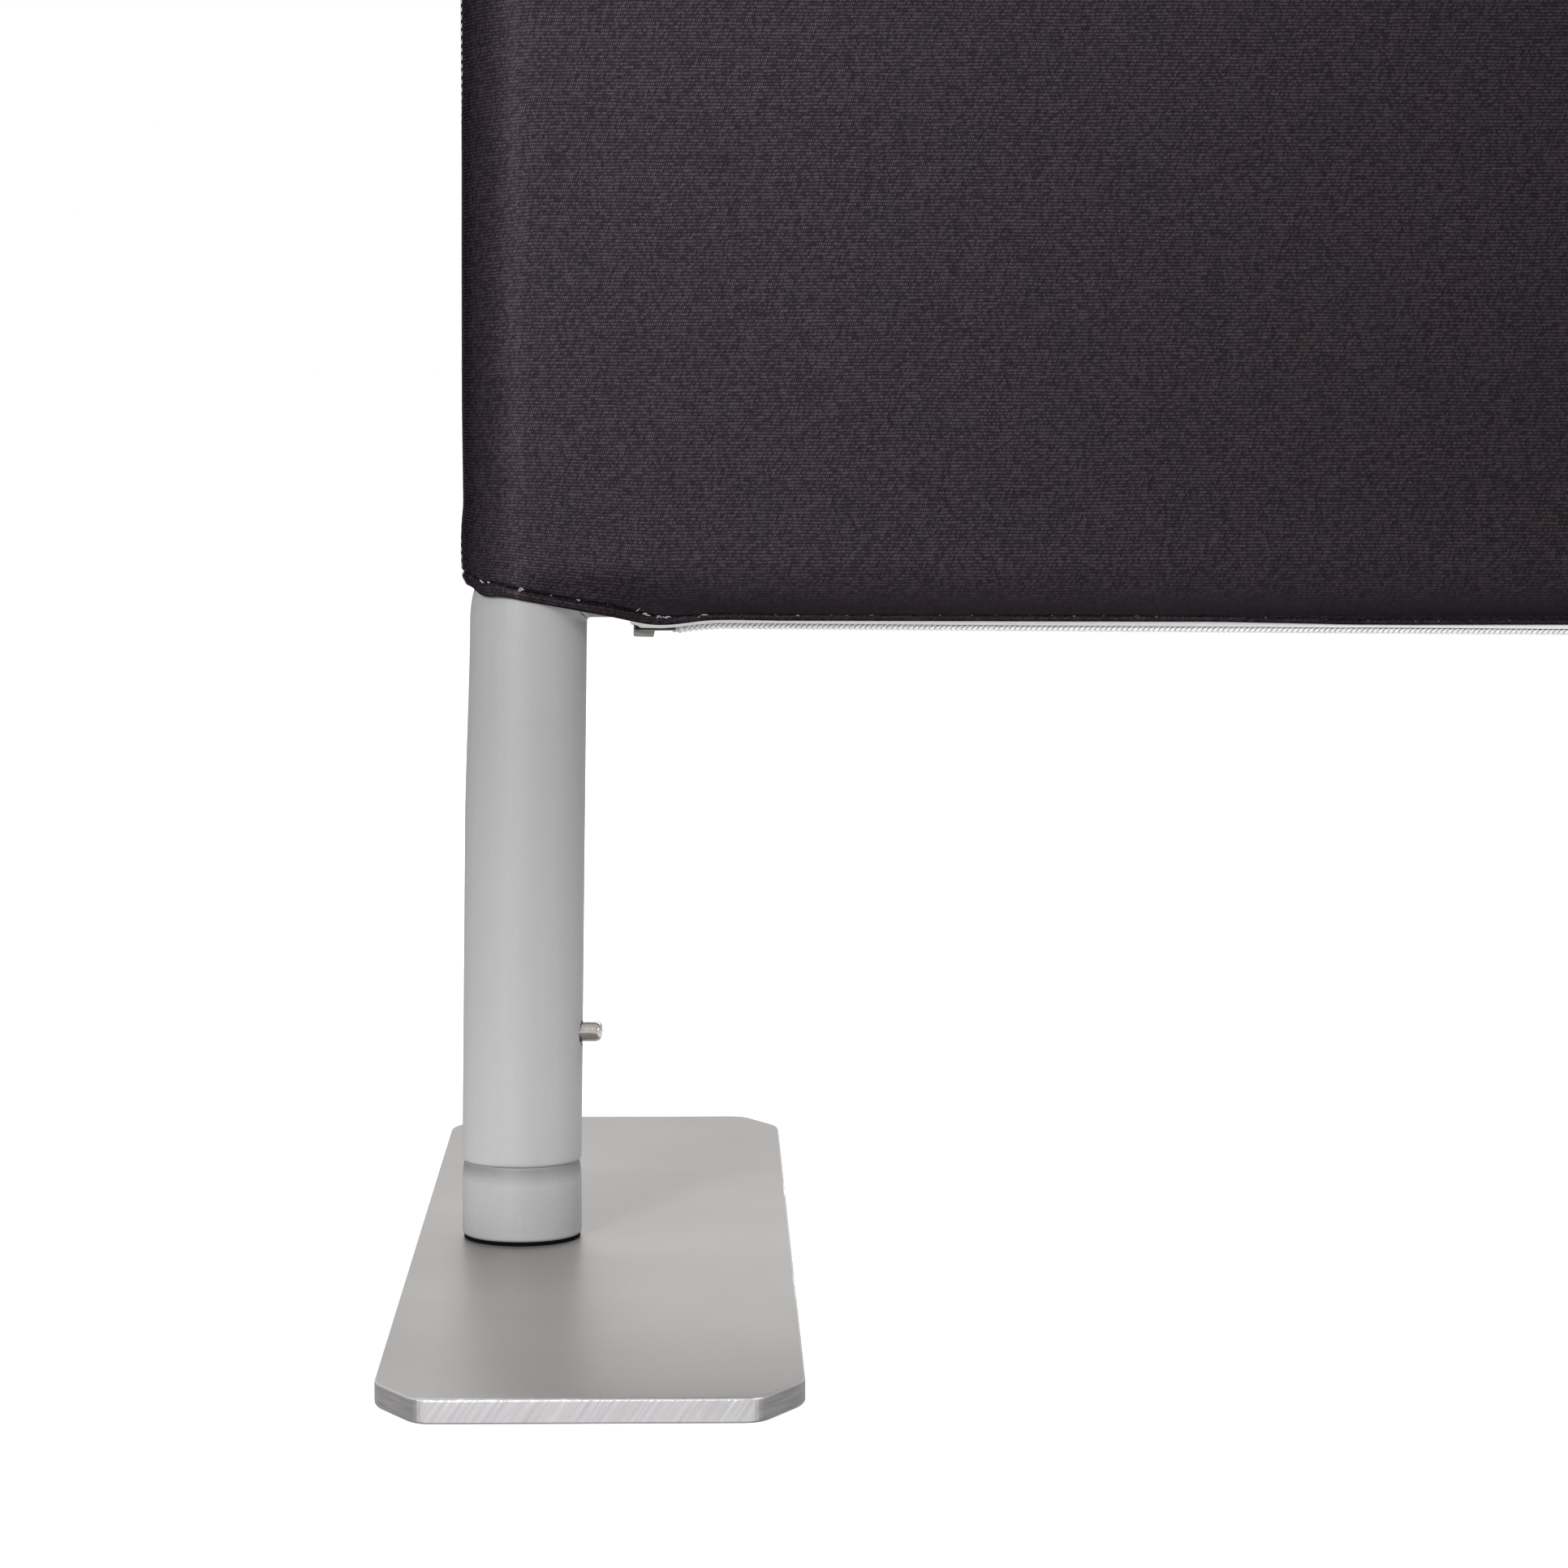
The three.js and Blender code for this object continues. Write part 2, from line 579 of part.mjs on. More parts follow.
// The turned collar that the leg stands on, with the spigot that goes up inside the leg.
function baseSpigot() {
  const top = LEG_FOOT + SPIGOT_LENGTH;
  const shoulder = roundedEdge(TUBE_RADIUS, LEG_FOOT, COLLAR_SHOULDER_DRAW, COLLAR_SHOULDER_HEIGHT);
  const profile = [
    [0, COLLAR_FOOT],
    [TUBE_RADIUS - COLLAR_FOOT_ROUND, COLLAR_FOOT],
    [TUBE_RADIUS, COLLAR_FOOT + COLLAR_FOOT_ROUND],
    ...shoulder,
    [SPIGOT_RADIUS, LEG_FOOT],
    [SPIGOT_RADIUS, top - SPIGOT_CHAMFER],
    [SPIGOT_RADIUS - SPIGOT_CHAMFER, top],
    [SPIGOT_BORE_RADIUS, top],
    [SPIGOT_BORE_RADIUS, LEG_FOOT + SPIGOT_FLOOR],
    [0, LEG_FOOT + SPIGOT_FLOOR],
  ];
  return cut(
    turned(profile, TUBE_SIDES),
    screwHole(),
    drill(BUTTON_RADIUS + FIT_GAP, 0, FOOT_BUTTON_Z, INWARD),
  ).translate(FOOT_X, 0, 0);
}

// Cover

function coverOutline(offset) {
  const corners = [
    [UPRIGHT_X, TOP_AXIS, BEND_RADIUS],
    [-UPRIGHT_X, TOP_AXIS, BEND_RADIUS],
    [-UPRIGHT_X, RAIL_AXIS, LOWER_CORNER_RADIUS],
    [UPRIGHT_X, RAIL_AXIS, LOWER_CORNER_RADIUS],
  ];
  return corners.flatMap(([x, z, radius], corner) =>
    Array.from({ length: CORNER_STEPS + 1 }, (_, step) => {
      const angle = QUARTER_TURN * (corner + step / CORNER_STEPS);
      const reach = radius + offset;
      const centreX = x - Math.sign(x) * radius;
      const centreZ = corner < 2 ? z - radius : z + radius;
      return [centreX + reach * Math.cos(angle), centreZ + reach * Math.sin(angle)];
    }),
  );
}

// The front half of the space inside a line drawn round the frame's tubes at one distance, which goes
// down round each leg as far as the hem can reach.
function halfPillow(distance) {
  const rings = Array.from({ length: WRAP_STEPS + 1 }, (_, step) => {
    const angle = (QUARTER_TURN * step) / WRAP_STEPS;
    const y = -distance * Math.sin(angle);
    return coverOutline(distance * Math.cos(angle)).map(([x, z]) => new THREE.Vector3(x, y, z));
  });
  const upright = rodAlong([
    station(-UPRIGHT_X, RAIL_UNDERSIDE - TUBE_DIAMETER, UP, distance),
    station(-UPRIGHT_X, RAIL_AXIS + BEND_RADIUS, UP, distance),
  ]);
  const bend = rodAlong(bendStations(RAIL_AXIS, distance));
  const corner = joined(upright, bend);
  return joined(skin(rings, false), corner, mirroredX(corner));
}

// The hem rises at each end to let the leg through.
function legOpening() {
  const outer = FRAME_WIDTH * HALF + TUBE_DIAMETER;
  const innerX = UPRIGHT_X - LEG_OPENING_REACH;
  const sideX = UPRIGHT_X + COVER_OUTSIDE;
  const low = RAIL_UNDERSIDE - TUBE_DIAMETER - COVER_OUTSIDE;
  const level = RAIL_AXIS - COVER_OUTSIDE;
  const high = RAIL_UNDERSIDE + LEG_OPENING_RISE;
  const line = [
    [-outer, low],
    [-innerX, low],
    [-innerX, level],
    [-sideX, high],
    [-outer, high],
  ];
  const shape = new THREE.Shape(line.map(([x, z]) => new THREE.Vector2(x, z)));
  return extrudedThrough(shape, -TUBE_DIAMETER, TUBE_DIAMETER);
}

function frontPanel() {
  const opening = legOpening();
  const width = FRAME_WIDTH + CUT;
  const height = FRAME_HEIGHT + CUT;
  const depth = COVER_OUTSIDE;
  const seam = block(width, depth, height, 0, (depth - SEAM_GAP) * HALF, FRAME_HEIGHT * HALF);
  const underside = block(width, HEM_SETBACK * 2, depth, 0, 0, RAIL_AXIS - COVER_OUTSIDE);
  const tools = [halfPillow(COVER_INSIDE), seam, underside, opening, mirroredX(opening)];
  return withoutOffcuts(cut(halfPillow(COVER_OUTSIDE), ...tools));
}

function flipped(geometry, axis) {
  const solid = solidOf(geometry).mirror(axis);
  return geometryOf(solid);
}

function mirroredX(geometry) {
  return flipped(geometry, [1, 0, 0]);
}

function mirroredY(geometry) {
  return flipped(geometry, [0, 1, 0]);
}

// Zip

// The front tape: it hangs level under the rail, rises to the hem, and carries half of the coil.
function frontZipTape() {
  const innerEdge = COIL_GAP * HALF;
  const riseEdge = RAIL_AXIS - Math.sqrt(COVER_OUTSIDE ** 2 - TAPE_EDGE ** 2) - FIT_GAP;
  const outline = [
    [-innerEdge, TAPE_TOP],
    [-innerEdge, COIL_BOTTOM],
    [-innerEdge - COIL_WIDTH, COIL_BOTTOM],
    [-innerEdge - COIL_WIDTH, COIL_TOP],
    [-TAPE_FLAT, COIL_TOP],
    [-TAPE_EDGE, riseEdge - TAPE_THICKNESS],
    [-TAPE_EDGE, riseEdge],
    [-TAPE_FLAT, TAPE_TOP],
  ];
  const shape = new THREE.Shape(outline.map(([y, z]) => new THREE.Vector2(y, z)));
  return extrudedAlong(shape, -ZIP_END_X, ZIP_END_X);
}

function zipStop() {
  const width = COIL_GAP + COIL_WIDTH * 2;
  const z = SLIDER_LOWER_PLATE_TOP - STOP_HEIGHT * HALF;
  return block(STOP_LENGTH, width, STOP_HEIGHT, -ZIP_END_X + STOP_LENGTH * HALF, 0, z);
}

// Plan of a slider plate: broad shoulders at the leading end, a narrower tail.
function sliderPlan() {
  const shoulder = (SLIDER_LENGTH - CROWN_EYE_LENGTH) * HALF;
  const plan = new THREE.Shape();
  plan.moveTo(0, -SLIDER_NOSE_WIDTH * HALF);
  plan.quadraticCurveTo(0, -SLIDER_HALF_WIDTH, shoulder, -SLIDER_HALF_WIDTH);
  plan.lineTo(SLIDER_LENGTH, -SLIDER_HALF_TAIL);
  plan.lineTo(SLIDER_LENGTH, SLIDER_HALF_TAIL);
  plan.lineTo(shoulder, SLIDER_HALF_WIDTH);
  plan.quadraticCurveTo(0, SLIDER_HALF_WIDTH, 0, SLIDER_NOSE_WIDTH * HALF);
  plan.closePath();
  return plan;
}

function sliderPlate(bottom) {
  const options = { depth: SLIDER_PLATE, bevelEnabled: false, curveSegments: ROUND_STEPS };
  return new THREE.ExtrudeGeometry(sliderPlan(), options).translate(0, 0, bottom);
}

function zipSlider() {
  const neckTop = SLIDER_TOP - SLIDER_PLATE * HALF;
  const neckBottom = SLIDER_LOWER_PLATE_TOP - SLIDER_PLATE * HALF;
  const neckX = SLIDER_NECK_LENGTH * HALF + SLIDER_PLATE;
  const neckZ = (neckTop + neckBottom) * HALF;
  const neck = block(SLIDER_NECK_LENGTH, SLIDER_NECK_WIDTH, neckTop - neckBottom, neckX, 0, neckZ);
  const rimFoot = SLIDER_LOWER_PLATE_BOTTOM + SLIDER_PLATE * HALF;
  const rimTop = COIL_TOP - FIT_GAP;
  const rimLength = SLIDER_LENGTH * HALF;
  const rimX = SLIDER_LENGTH - rimLength * HALF;
  const rimY = SLIDER_HALF_TAIL - SLIDER_RIM * HALF;
  const rimZ = (rimTop + rimFoot) * HALF;
  const rims = [-1, 1].map((side) =>
    block(rimLength, SLIDER_RIM, rimTop - rimFoot, rimX, side * rimY, rimZ),
  );
  const crownTop = SLIDER_LOWER_PLATE_BOTTOM + SLIDER_PLATE * HALF;
  const crownBottom = SLIDER_LOWER_PLATE_BOTTOM - CROWN_HEIGHT;
  const crownZ = (crownTop + crownBottom) * HALF;
  const crown = block(CROWN_LENGTH, CROWN_WIDTH, crownTop - crownBottom, CROWN_LENGTH * HALF, 0, crownZ);
  const eyeZ = SLIDER_LOWER_PLATE_BOTTOM - CROWN_EYE_HEIGHT * HALF;
  const eye = block(CROWN_EYE_LENGTH, CROWN_WIDTH * 2, CROWN_EYE_HEIGHT, CROWN_LENGTH * HALF, 0, eyeZ);
  const upper = sliderPlate(SLIDER_TOP - SLIDER_PLATE);
  const lower = sliderPlate(SLIDER_LOWER_PLATE_BOTTOM);
  const body = cut(joined(upper, lower, neck, ...rims, crown), eye);
  return body.translate(-ZIP_END_X + STOP_LENGTH + FIT_GAP, 0, 0);
}

// Assembly

function piece(name, geometry, material) {
  const mesh = new THREE.Mesh(toCreasedNormals(geometry, CREASE_ANGLE), material);
  mesh.name = name;
  return mesh;
}

// A snap button and its spring, or a rivet, set in a joint and turned to point to the inside of the frame.
function snapLock(name, side, x, z, turn, bore = SLEEVE_BORE_RADIUS) {
  const button = piece(`${name}_button_${side}`, snapButton(bore), MATERIALS.button);
  const spring = piece(`${name}_spring_${side}`, snapSpring(bore), MATERIALS.spring);
  const lock = new THREE.Group().add(button, spring);
  lock.position.set(x, 0, z);
  lock.rotation.y = turn;
  return lock;
}

function rivetAt(name, side, x, z, turn) {
  const mesh = piece(`${name}_rivet_${side}`, rivet(), MATERIALS.button);
  mesh.position.set(x, 0, z);
  mesh.rotation.y = turn;
  return mesh;
}

// One end of the barrier, modelled on the left; the right-hand end is its mirror image.
function endOfBarrier(side) {
  const end = new THREE.Group();
  const down = UP.clone().negate();
  const rivetX = ARM_END_X - RIVET_OFFSET;
  const buttonX = ARM_END_X + SLEEVE_BUTTON_OFFSET;
  end.add(
    piece(`base_plate_${side}`, basePlate(), MATERIALS.plate),
    piece(`base_gasket_${side}`, baseGasket(), MATERIALS.rubber),
    piece(`base_spigot_${side}`, baseSpigot(), MATERIALS.tube),
    piece(`plate_screw_${side}`, plateScrew(), MATERIALS.screw),
    piece(`lower_corner_${side}`, lowerCorner(), MATERIALS.tube),
    piece(`corner_stub_${side}`, cornerStub(), MATERIALS.tube),
    piece(`corner_sleeve_${side}`, cornerSleeve(), MATERIALS.sleeve),
    piece(`upper_corner_${side}`, upperCorner(), MATERIALS.tube),
    piece(`bottom_sleeve_${side}`, railSleeve(RAIL_AXIS, UP), MATERIALS.sleeve),
    piece(`top_sleeve_${side}`, railSleeve(TOP_AXIS, down), MATERIALS.sleeve),
    rivetAt("bottom", side, rivetX, RAIL_AXIS, 0),
    rivetAt("top", side, rivetX, TOP_AXIS, Math.PI),
    snapLock("foot", side, FOOT_X, FOOT_BUTTON_Z, 0, SPIGOT_BORE_RADIUS),
    snapLock("upright", side, -UPRIGHT_X, UPRIGHT_BUTTON_Z, 0),
    snapLock("bottom", side, buttonX, RAIL_AXIS, -QUARTER_TURN),
    snapLock("top", side, buttonX, TOP_AXIS, QUARTER_TURN),
    piece(`zip_stop_${side}`, zipStop(), MATERIALS.tape),
  );
  return end;
}

const barrier = new THREE.Group();
const leftEnd = endOfBarrier("left");
const rightEnd = endOfBarrier("right");
rightEnd.scale.x = -1;
barrier.add(
  leftEnd,
  rightEnd,
  piece("bottom_rail", middleRail(RAIL_AXIS, UP), MATERIALS.tube),
  piece("top_rail", middleRail(TOP_AXIS, UP.clone().negate()), MATERIALS.tube),
  piece("front_panel", frontPanel(), MATERIALS.fabric),
  piece("back_panel", mirroredY(frontPanel()), MATERIALS.fabric),
  piece("zip_tape_front", frontZipTape(), MATERIALS.tape),
  piece("zip_tape_back", mirroredY(frontZipTape()), MATERIALS.tape),
  piece("zip_slider", zipSlider(), MATERIALS.slider),
);

export default barrier;
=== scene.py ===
import functools
import math

import bpy
import numpy as np
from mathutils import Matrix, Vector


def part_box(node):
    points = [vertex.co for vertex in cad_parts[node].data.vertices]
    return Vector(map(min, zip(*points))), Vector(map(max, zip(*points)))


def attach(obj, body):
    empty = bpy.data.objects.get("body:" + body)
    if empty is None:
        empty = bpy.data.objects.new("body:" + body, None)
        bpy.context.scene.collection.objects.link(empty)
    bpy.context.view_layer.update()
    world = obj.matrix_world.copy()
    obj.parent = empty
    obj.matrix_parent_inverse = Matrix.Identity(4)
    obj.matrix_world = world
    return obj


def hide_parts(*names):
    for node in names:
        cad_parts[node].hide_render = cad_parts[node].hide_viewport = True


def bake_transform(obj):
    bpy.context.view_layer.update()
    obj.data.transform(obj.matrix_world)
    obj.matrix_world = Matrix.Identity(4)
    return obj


# A cafe barrier: a zipped stretch cover over a folded tube frame on two flat steel base plates.
# Metres, in the frame's own axes. What is on the right mirrors what is on the left.

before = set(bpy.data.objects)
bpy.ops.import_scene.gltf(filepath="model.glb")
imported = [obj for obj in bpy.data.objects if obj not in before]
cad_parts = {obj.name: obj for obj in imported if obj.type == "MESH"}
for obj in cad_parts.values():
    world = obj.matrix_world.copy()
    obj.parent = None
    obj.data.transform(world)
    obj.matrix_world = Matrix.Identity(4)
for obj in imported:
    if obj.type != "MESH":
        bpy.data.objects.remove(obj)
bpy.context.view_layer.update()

MM = 0.001
QUARTER = math.pi / 2
TURN = math.pi * 2
CREASE_ANGLE = math.radians(38)
SIGNS = {"left": 1, "right": -1}  # of X, for what is laid out on the left
HALVES = (("front", -1), ("back", 1))  # and which way each faces along Y

# Places and sizes that the frame gives
RAIL_LOW, RAIL_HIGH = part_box("bottom_rail")
TOP_LOW, TOP_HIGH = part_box("top_rail")
UPRIGHT_LOW, UPRIGHT_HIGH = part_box("upper_corner_left")
PLATE_LOW, PLATE_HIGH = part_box("base_plate_left")
GASKET_LOW, GASKET_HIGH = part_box("base_gasket_left")
SPIGOT_LOW, SPIGOT_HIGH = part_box("base_spigot_left")
BUTTON_LOW, BUTTON_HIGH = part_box("foot_button_left")
TAPE_LOW, TAPE_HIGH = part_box("zip_tape_front")
SLIDER_LOW, SLIDER_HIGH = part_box("zip_slider")
TUBE_RADIUS = RAIL_HIGH.y
RAIL_Z = (RAIL_LOW.z + RAIL_HIGH.z) / 2
TOP_Z = (TOP_LOW.z + TOP_HIGH.z) / 2
UPRIGHT_X = -UPRIGHT_LOW.x - TUBE_RADIUS
ARM_END_X = UPRIGHT_HIGH.x
FOOT_X = (GASKET_LOW.x + GASKET_HIGH.x) / 2
LEG_FOOT_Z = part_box("lower_corner_left")[0].z
BUTTON_Z = (BUTTON_LOW.z + BUTTON_HIGH.z) / 2

# Frame tubes
TUBE_WALL = 1.5 * MM
TUBE_END_ROUND = 1.0 * MM
FOLD_RADIUS = TUBE_RADIUS + 1.0 * MM
FOLD_FLAT_SHARE = 0.94
FOLD_FLAT_REACH = 55 * MM
SLIT_WIDTH = 0.16 * MM
SLIT_DEPTH = 2.6 * MM
BUTTON_HOLE_RADIUS = 3.6 * MM
HOLE_TURN = math.radians(-6)
HOLE_Z = BUTTON_Z - 0.7 * MM
PIN_Z = BUTTON_Z - 0.4 * MM
RAIL_END_EASE = 0.4 * MM
TUBE_SIDES = 96
LEG_RINGS = 60
FOLD_RINGS = 40

# Feet
PLATE_CLIP = (10.5 * MM, 19 * MM)
PLATE_CORNER_ROUND = 4.5 * MM
PLATE_BEVEL = 0.8 * MM
SCREW_SEAT = ((0, -1), (8.6, -1), (8.2, 0.4), (4.4, 4.6), (4.4, 8), (0, 8))
GASKET_BORE_RADIUS = 5 * MM
GASKET_EASE = 0.25 * MM
COLLAR_SHOULDER = (0.9 * MM, 7 * MM)
COLLAR_FOOT_ROUND = 1.0 * MM
SPIGOT_RADIUS = 13.6 * MM
SPIGOT_CHAMFER = 1.2 * MM
SPIGOT_BORE_RADIUS = 11.6 * MM
SPIGOT_FLOOR = 1.5 * MM
BUTTON_RADIUS = 2.9 * MM
BUTTON_PLAY = 0.3 * MM
BUTTON_FLANGE = (4 * MM, 1 * MM)
BUTTON_LONGER = 0.5 * MM
BUTTON_TIP_ROUND = 2.1 * MM
BUTTON_DOME = 0.12 * MM

# Cover. The stops of a line are (place, value) in mm. Along the hem a place is inward of the upright's axis,
# and up the side it is above the rail's axis. Flecks are (place, length) of white thread.
COVER_REACH = -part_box("front_panel")[0].y
COVER_SIDE = COVER_REACH * QUARTER
CLOTH = 0.5 * MM
HEM_TURN_RADIUS = 18.6 * MM
HEM_LEVEL = TAPE_HIGH.z - 1.5 * MM
HEM_LINE = (
    (-27, 9), (-20.5, 8.7), (-17, 6.9), (-13, 6.4), (-9, 6.7), (-4, 6.3), (12, 3.4), (23, 1.25), (29.5, -0.42),
    (33.5, -1.2), (38, -1.3), (42, -0.85), (48, -0.1), (54, 0), (67, -0.25), (183, -0.7), (220, -1.5),
    (276, -1.8), (734, -2.4),
)
STITCH_DRAWN = ((-27, 3.9), (-10, 3.8), (-5, 2.9), (14, 2.7), (22, 3.1), (28, 3.0), (734, 3.0))
SIDE_LINE = (
    (-8, 15.6), (-7, 15.9), (-5, 16.9), (-3, 17.2), (0, 17.4), (6, 17.4), (10, 17.1), (14, 16.7), (40, 16.9),
    (82, 16.7), (104, 16.55), (220, 16.55), (400, 17.2),
)
SEAM_LINE = ((-8, 2.5), (3, 2.5), (12, -1.5), (110, -1.5), (124, 3), (220, 3), (320, 0))
RIB_LEAN = ((-20, -0.03), (40, 0.02), (90, 0.07), (400, 0.07), (700, 0))
COVER_TOP = TOP_Z + COVER_SIDE
COVER_EDGE = UPRIGHT_X + COVER_SIDE
COVER_HEIGHT = COVER_TOP - HEM_LEVEL
SEAM_GAP = 0.15 * MM
SEAM_SINK = 0.35 * MM
SEAM_PITCH = 2.1 * MM
HEM_SWELL = 0.3 * MM
STITCH_SINK = 0.6 * MM
STITCH_PITCH = 2.7 * MM
THREAD_SIDES = 6
HEM_THREAD_RADIUS = 0.2 * MM
FLECK_THREAD_RADIUS = 0.09 * MM
SEAM_THREAD_RADIUS = 0.13 * MM
FLECKS = (
    (-14.6, 1.4), (-11.9, 0.8), (-0.9, 1.3), (7, 0.3), (14, 0.8), (22, 0.4), (31.6, 1.5), (35.3, 1.2),
    (37.2, 1.5), (41, 0.5), (46.7, 1.5), (57, 0.4),
)
RIB_PITCH = 0.862 * MM
LOOP_PITCH = 0.6 * MM
LOOP_TWIST = 0.4
YARN_WARM = (0.062, 0.0495, 0.058)
YARN_COOL = (0.057, 0.048, 0.0595)
GROUND_YARN = (0.0094, 0.0074, 0.0085)
MATT = {"specular_ior_level": 0.0, "specular_tint": (0.3, 0.3, 0.3, 1)}

# Zip
COIL_PITCH = 1.42 * MM
COIL_ROUNDS = 12
COIL_WIRE = (0.62 * MM, 0.34 * MM)
COIL_HALF_HEIGHT = 0.55 * MM
COIL_HALF_WIDTH = 1.35 * MM
COIL_OFF = 1.9 * MM
TAPE_Z = TAPE_LOW.z + 1.75 * MM
TAPE_THICKNESS = 0.35 * MM
COIL_DROP = TAPE_THICKNESS / 2 + COIL_HALF_HEIGHT + COIL_WIRE[1]
COIL_THREAD_RADIUS = 0.2 * MM
STOP_THREAD_RADIUS = 0.14 * MM
ZIP_SAG = ((184, 1.15), (277, 1.9), (734, 2.3))
NEAR_DROP = (
    (27, 0.2), (29.2, 0.25), (30, 1.25), (36, 1.35), (40, 1.1), (43, 0.65), (47, 0.25), (51.5, 0), (67, 0.15),
    *ZIP_SAG,
)
FAR_DROP = ((27, -0.37), (46, -0.37), (67, -0.15), (120, 0.6), *ZIP_SAG)
SLIDER_SHIFT = -0.45 * MM

# Light and camera
WORLD_LEVEL = 0.27
FLOOR_LIFT = 0.8
FLOOR_REACH = 40
KEY_SIZE = 0.3
KEY_POWER = 13.3
FILL_POWER = 9.0
KEY_PLACE = (1.2, -1.22, 0.75)
KEY_AIM_Z = 0.3
BACK_PLACE = (0, 1.3, 1.7)
BACK_AIM = (0, 0, 0.35)
BACK_SIZE = (2.4, 0.8)
BACK_POWER = 30
CAMERA_PLACE = (-0.68948, -1.26697, 0.24396)
CAMERA_PITCH = math.radians(5.235)
CAMERA_YAW = math.radians(1.078)
CAMERA_LENS = 109.48


# Meshes

def new_mesh(name, points, faces):
    mesh = bpy.data.meshes.new(name)
    mesh.from_pydata([tuple(p) for p in points], [], [tuple(f) for f in faces])
    return mesh


def placed(name, data):
    made = bpy.data.objects.new(name, data)
    bpy.context.collection.objects.link(made)
    return made


def shade(mesh):
    mesh.shade_smooth()
    mesh.set_sharp_from_angle(angle=CREASE_ANGLE)


def piece(name, points, faces, material, slot, body="frame", replaced=(), cloth_uv=None):
    """A piece of that mesh, which rides on a body and stands for the replaced nodes."""
    mesh = new_mesh(name, points, faces)
    mesh.update()
    if cloth_uv is not None:
        layer = mesh.uv_layers.new(name="cloth")
        corners = np.empty(len(mesh.loops), dtype=np.int32)
        mesh.loops.foreach_get("vertex_index", corners)
        layer.data.foreach_set("uv", np.asarray(cloth_uv)[corners].ravel())
    mesh.materials.append(material)
    shade(mesh)
    made = placed(name, mesh)
    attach(made, body)
    if replaced:
        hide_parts(*replaced)
    return made


def smooth(value, low, high):
    share = np.clip((value - low) / (high - low), 0, 1)
    return share * share * (3 - 2 * share)


def unit(vectors):
    return vectors / np.maximum(np.linalg.norm(vectors, axis=-1, keepdims=True), 1e-12)


def grid_faces(rows, columns, loop_rows=False, loop_columns=False):
    """Faces between the neighbours of a grid of points, closed round where it loops."""
    row = np.arange(rows if loop_rows else rows - 1)[:, None]
    column = np.arange(columns if loop_columns else columns - 1)[None, :]
    right, below = (column + 1) % columns, (row + 1) % rows * columns
    row = row * columns
    return np.stack([row + column, row + right, below + right, below + column], -1).reshape(-1, 4)


def capped(rows, sides):
    """Faces of a tube of rings with a face over both its ends."""
    faces = [tuple(f) for f in grid_faces(rows, sides, loop_columns=True)]
    return faces + [tuple(range(sides - 1, -1, -1)), tuple(range((rows - 1) * sides, rows * sides))]


def ring(centre, side, up, radius, sides=TUBE_SIDES):
    turn = np.arange(sides)[:, None] * TURN / sides
    return np.asarray(centre) + radius * (np.cos(turn) * np.asarray(side) + np.sin(turn) * np.asarray(up))


def revolved(profile, at, sides=TUBE_SIDES, upright=True):
    """A turned piece; profile is (radius, place on the axis), and the axis stands at X or lies along X at Z."""
    ways = ((1, 0, 0), (0, 1, 0)) if upright else ((0, 1, 0), (0, 0, 1))
    rings = [ring((at, 0, on) if upright else (on, 0, at), *ways, max(r, 1e-6), sides) for r, on in profile]
    return np.concatenate(rings), grid_faces(len(profile), sides, loop_columns=True)


def arc(centre, radii, start, end, steps=6):
    """Points along an arc of a circle or, with two radii, of an ellipse."""
    across, up = np.broadcast_to(radii, 2)
    turns = [start + (end - start) * step / steps for step in range(steps + 1)]
    return [(centre[0] + across * math.cos(t), centre[1] + up * math.sin(t)) for t in turns]


def on_side(points, faces, side):
    """The mesh as it is on the left, or mirrored to the right with its faces turned the right way out."""
    if side == "left":
        return points, faces
    return np.array(points) * (-1, 1, 1), [tuple(reversed(f)) for f in faces]


def cut_away(made, points, faces):
    """Cuts a closed tool mesh out of a piece."""
    mesh = new_mesh("tool", points, faces)
    tool = placed("tool", mesh)
    cut = made.modifiers.new("cut", "BOOLEAN")
    cut.operation, cut.solver, cut.object = "DIFFERENCE", "EXACT", tool
    bpy.context.view_layer.update()
    result = bpy.data.meshes.new_from_object(made.evaluated_get(bpy.context.evaluated_depsgraph_get()))
    made.modifiers.clear()
    old, made.data = made.data, result
    bpy.data.objects.remove(tool)
    bpy.data.meshes.remove(mesh)
    bpy.data.meshes.remove(old)
    shade(result)


def rod(start, end, radius, sides=48):
    """A closed rod between two points."""
    along = unit(np.subtract(end, start))
    across = unit(np.cross(along, (0, 1, 0)))
    up = np.cross(along, across)
    points = np.concatenate([ring(start, across, up, radius, sides), ring(end, across, up, radius, sides)])
    return points, capped(2, sides)


# Materials

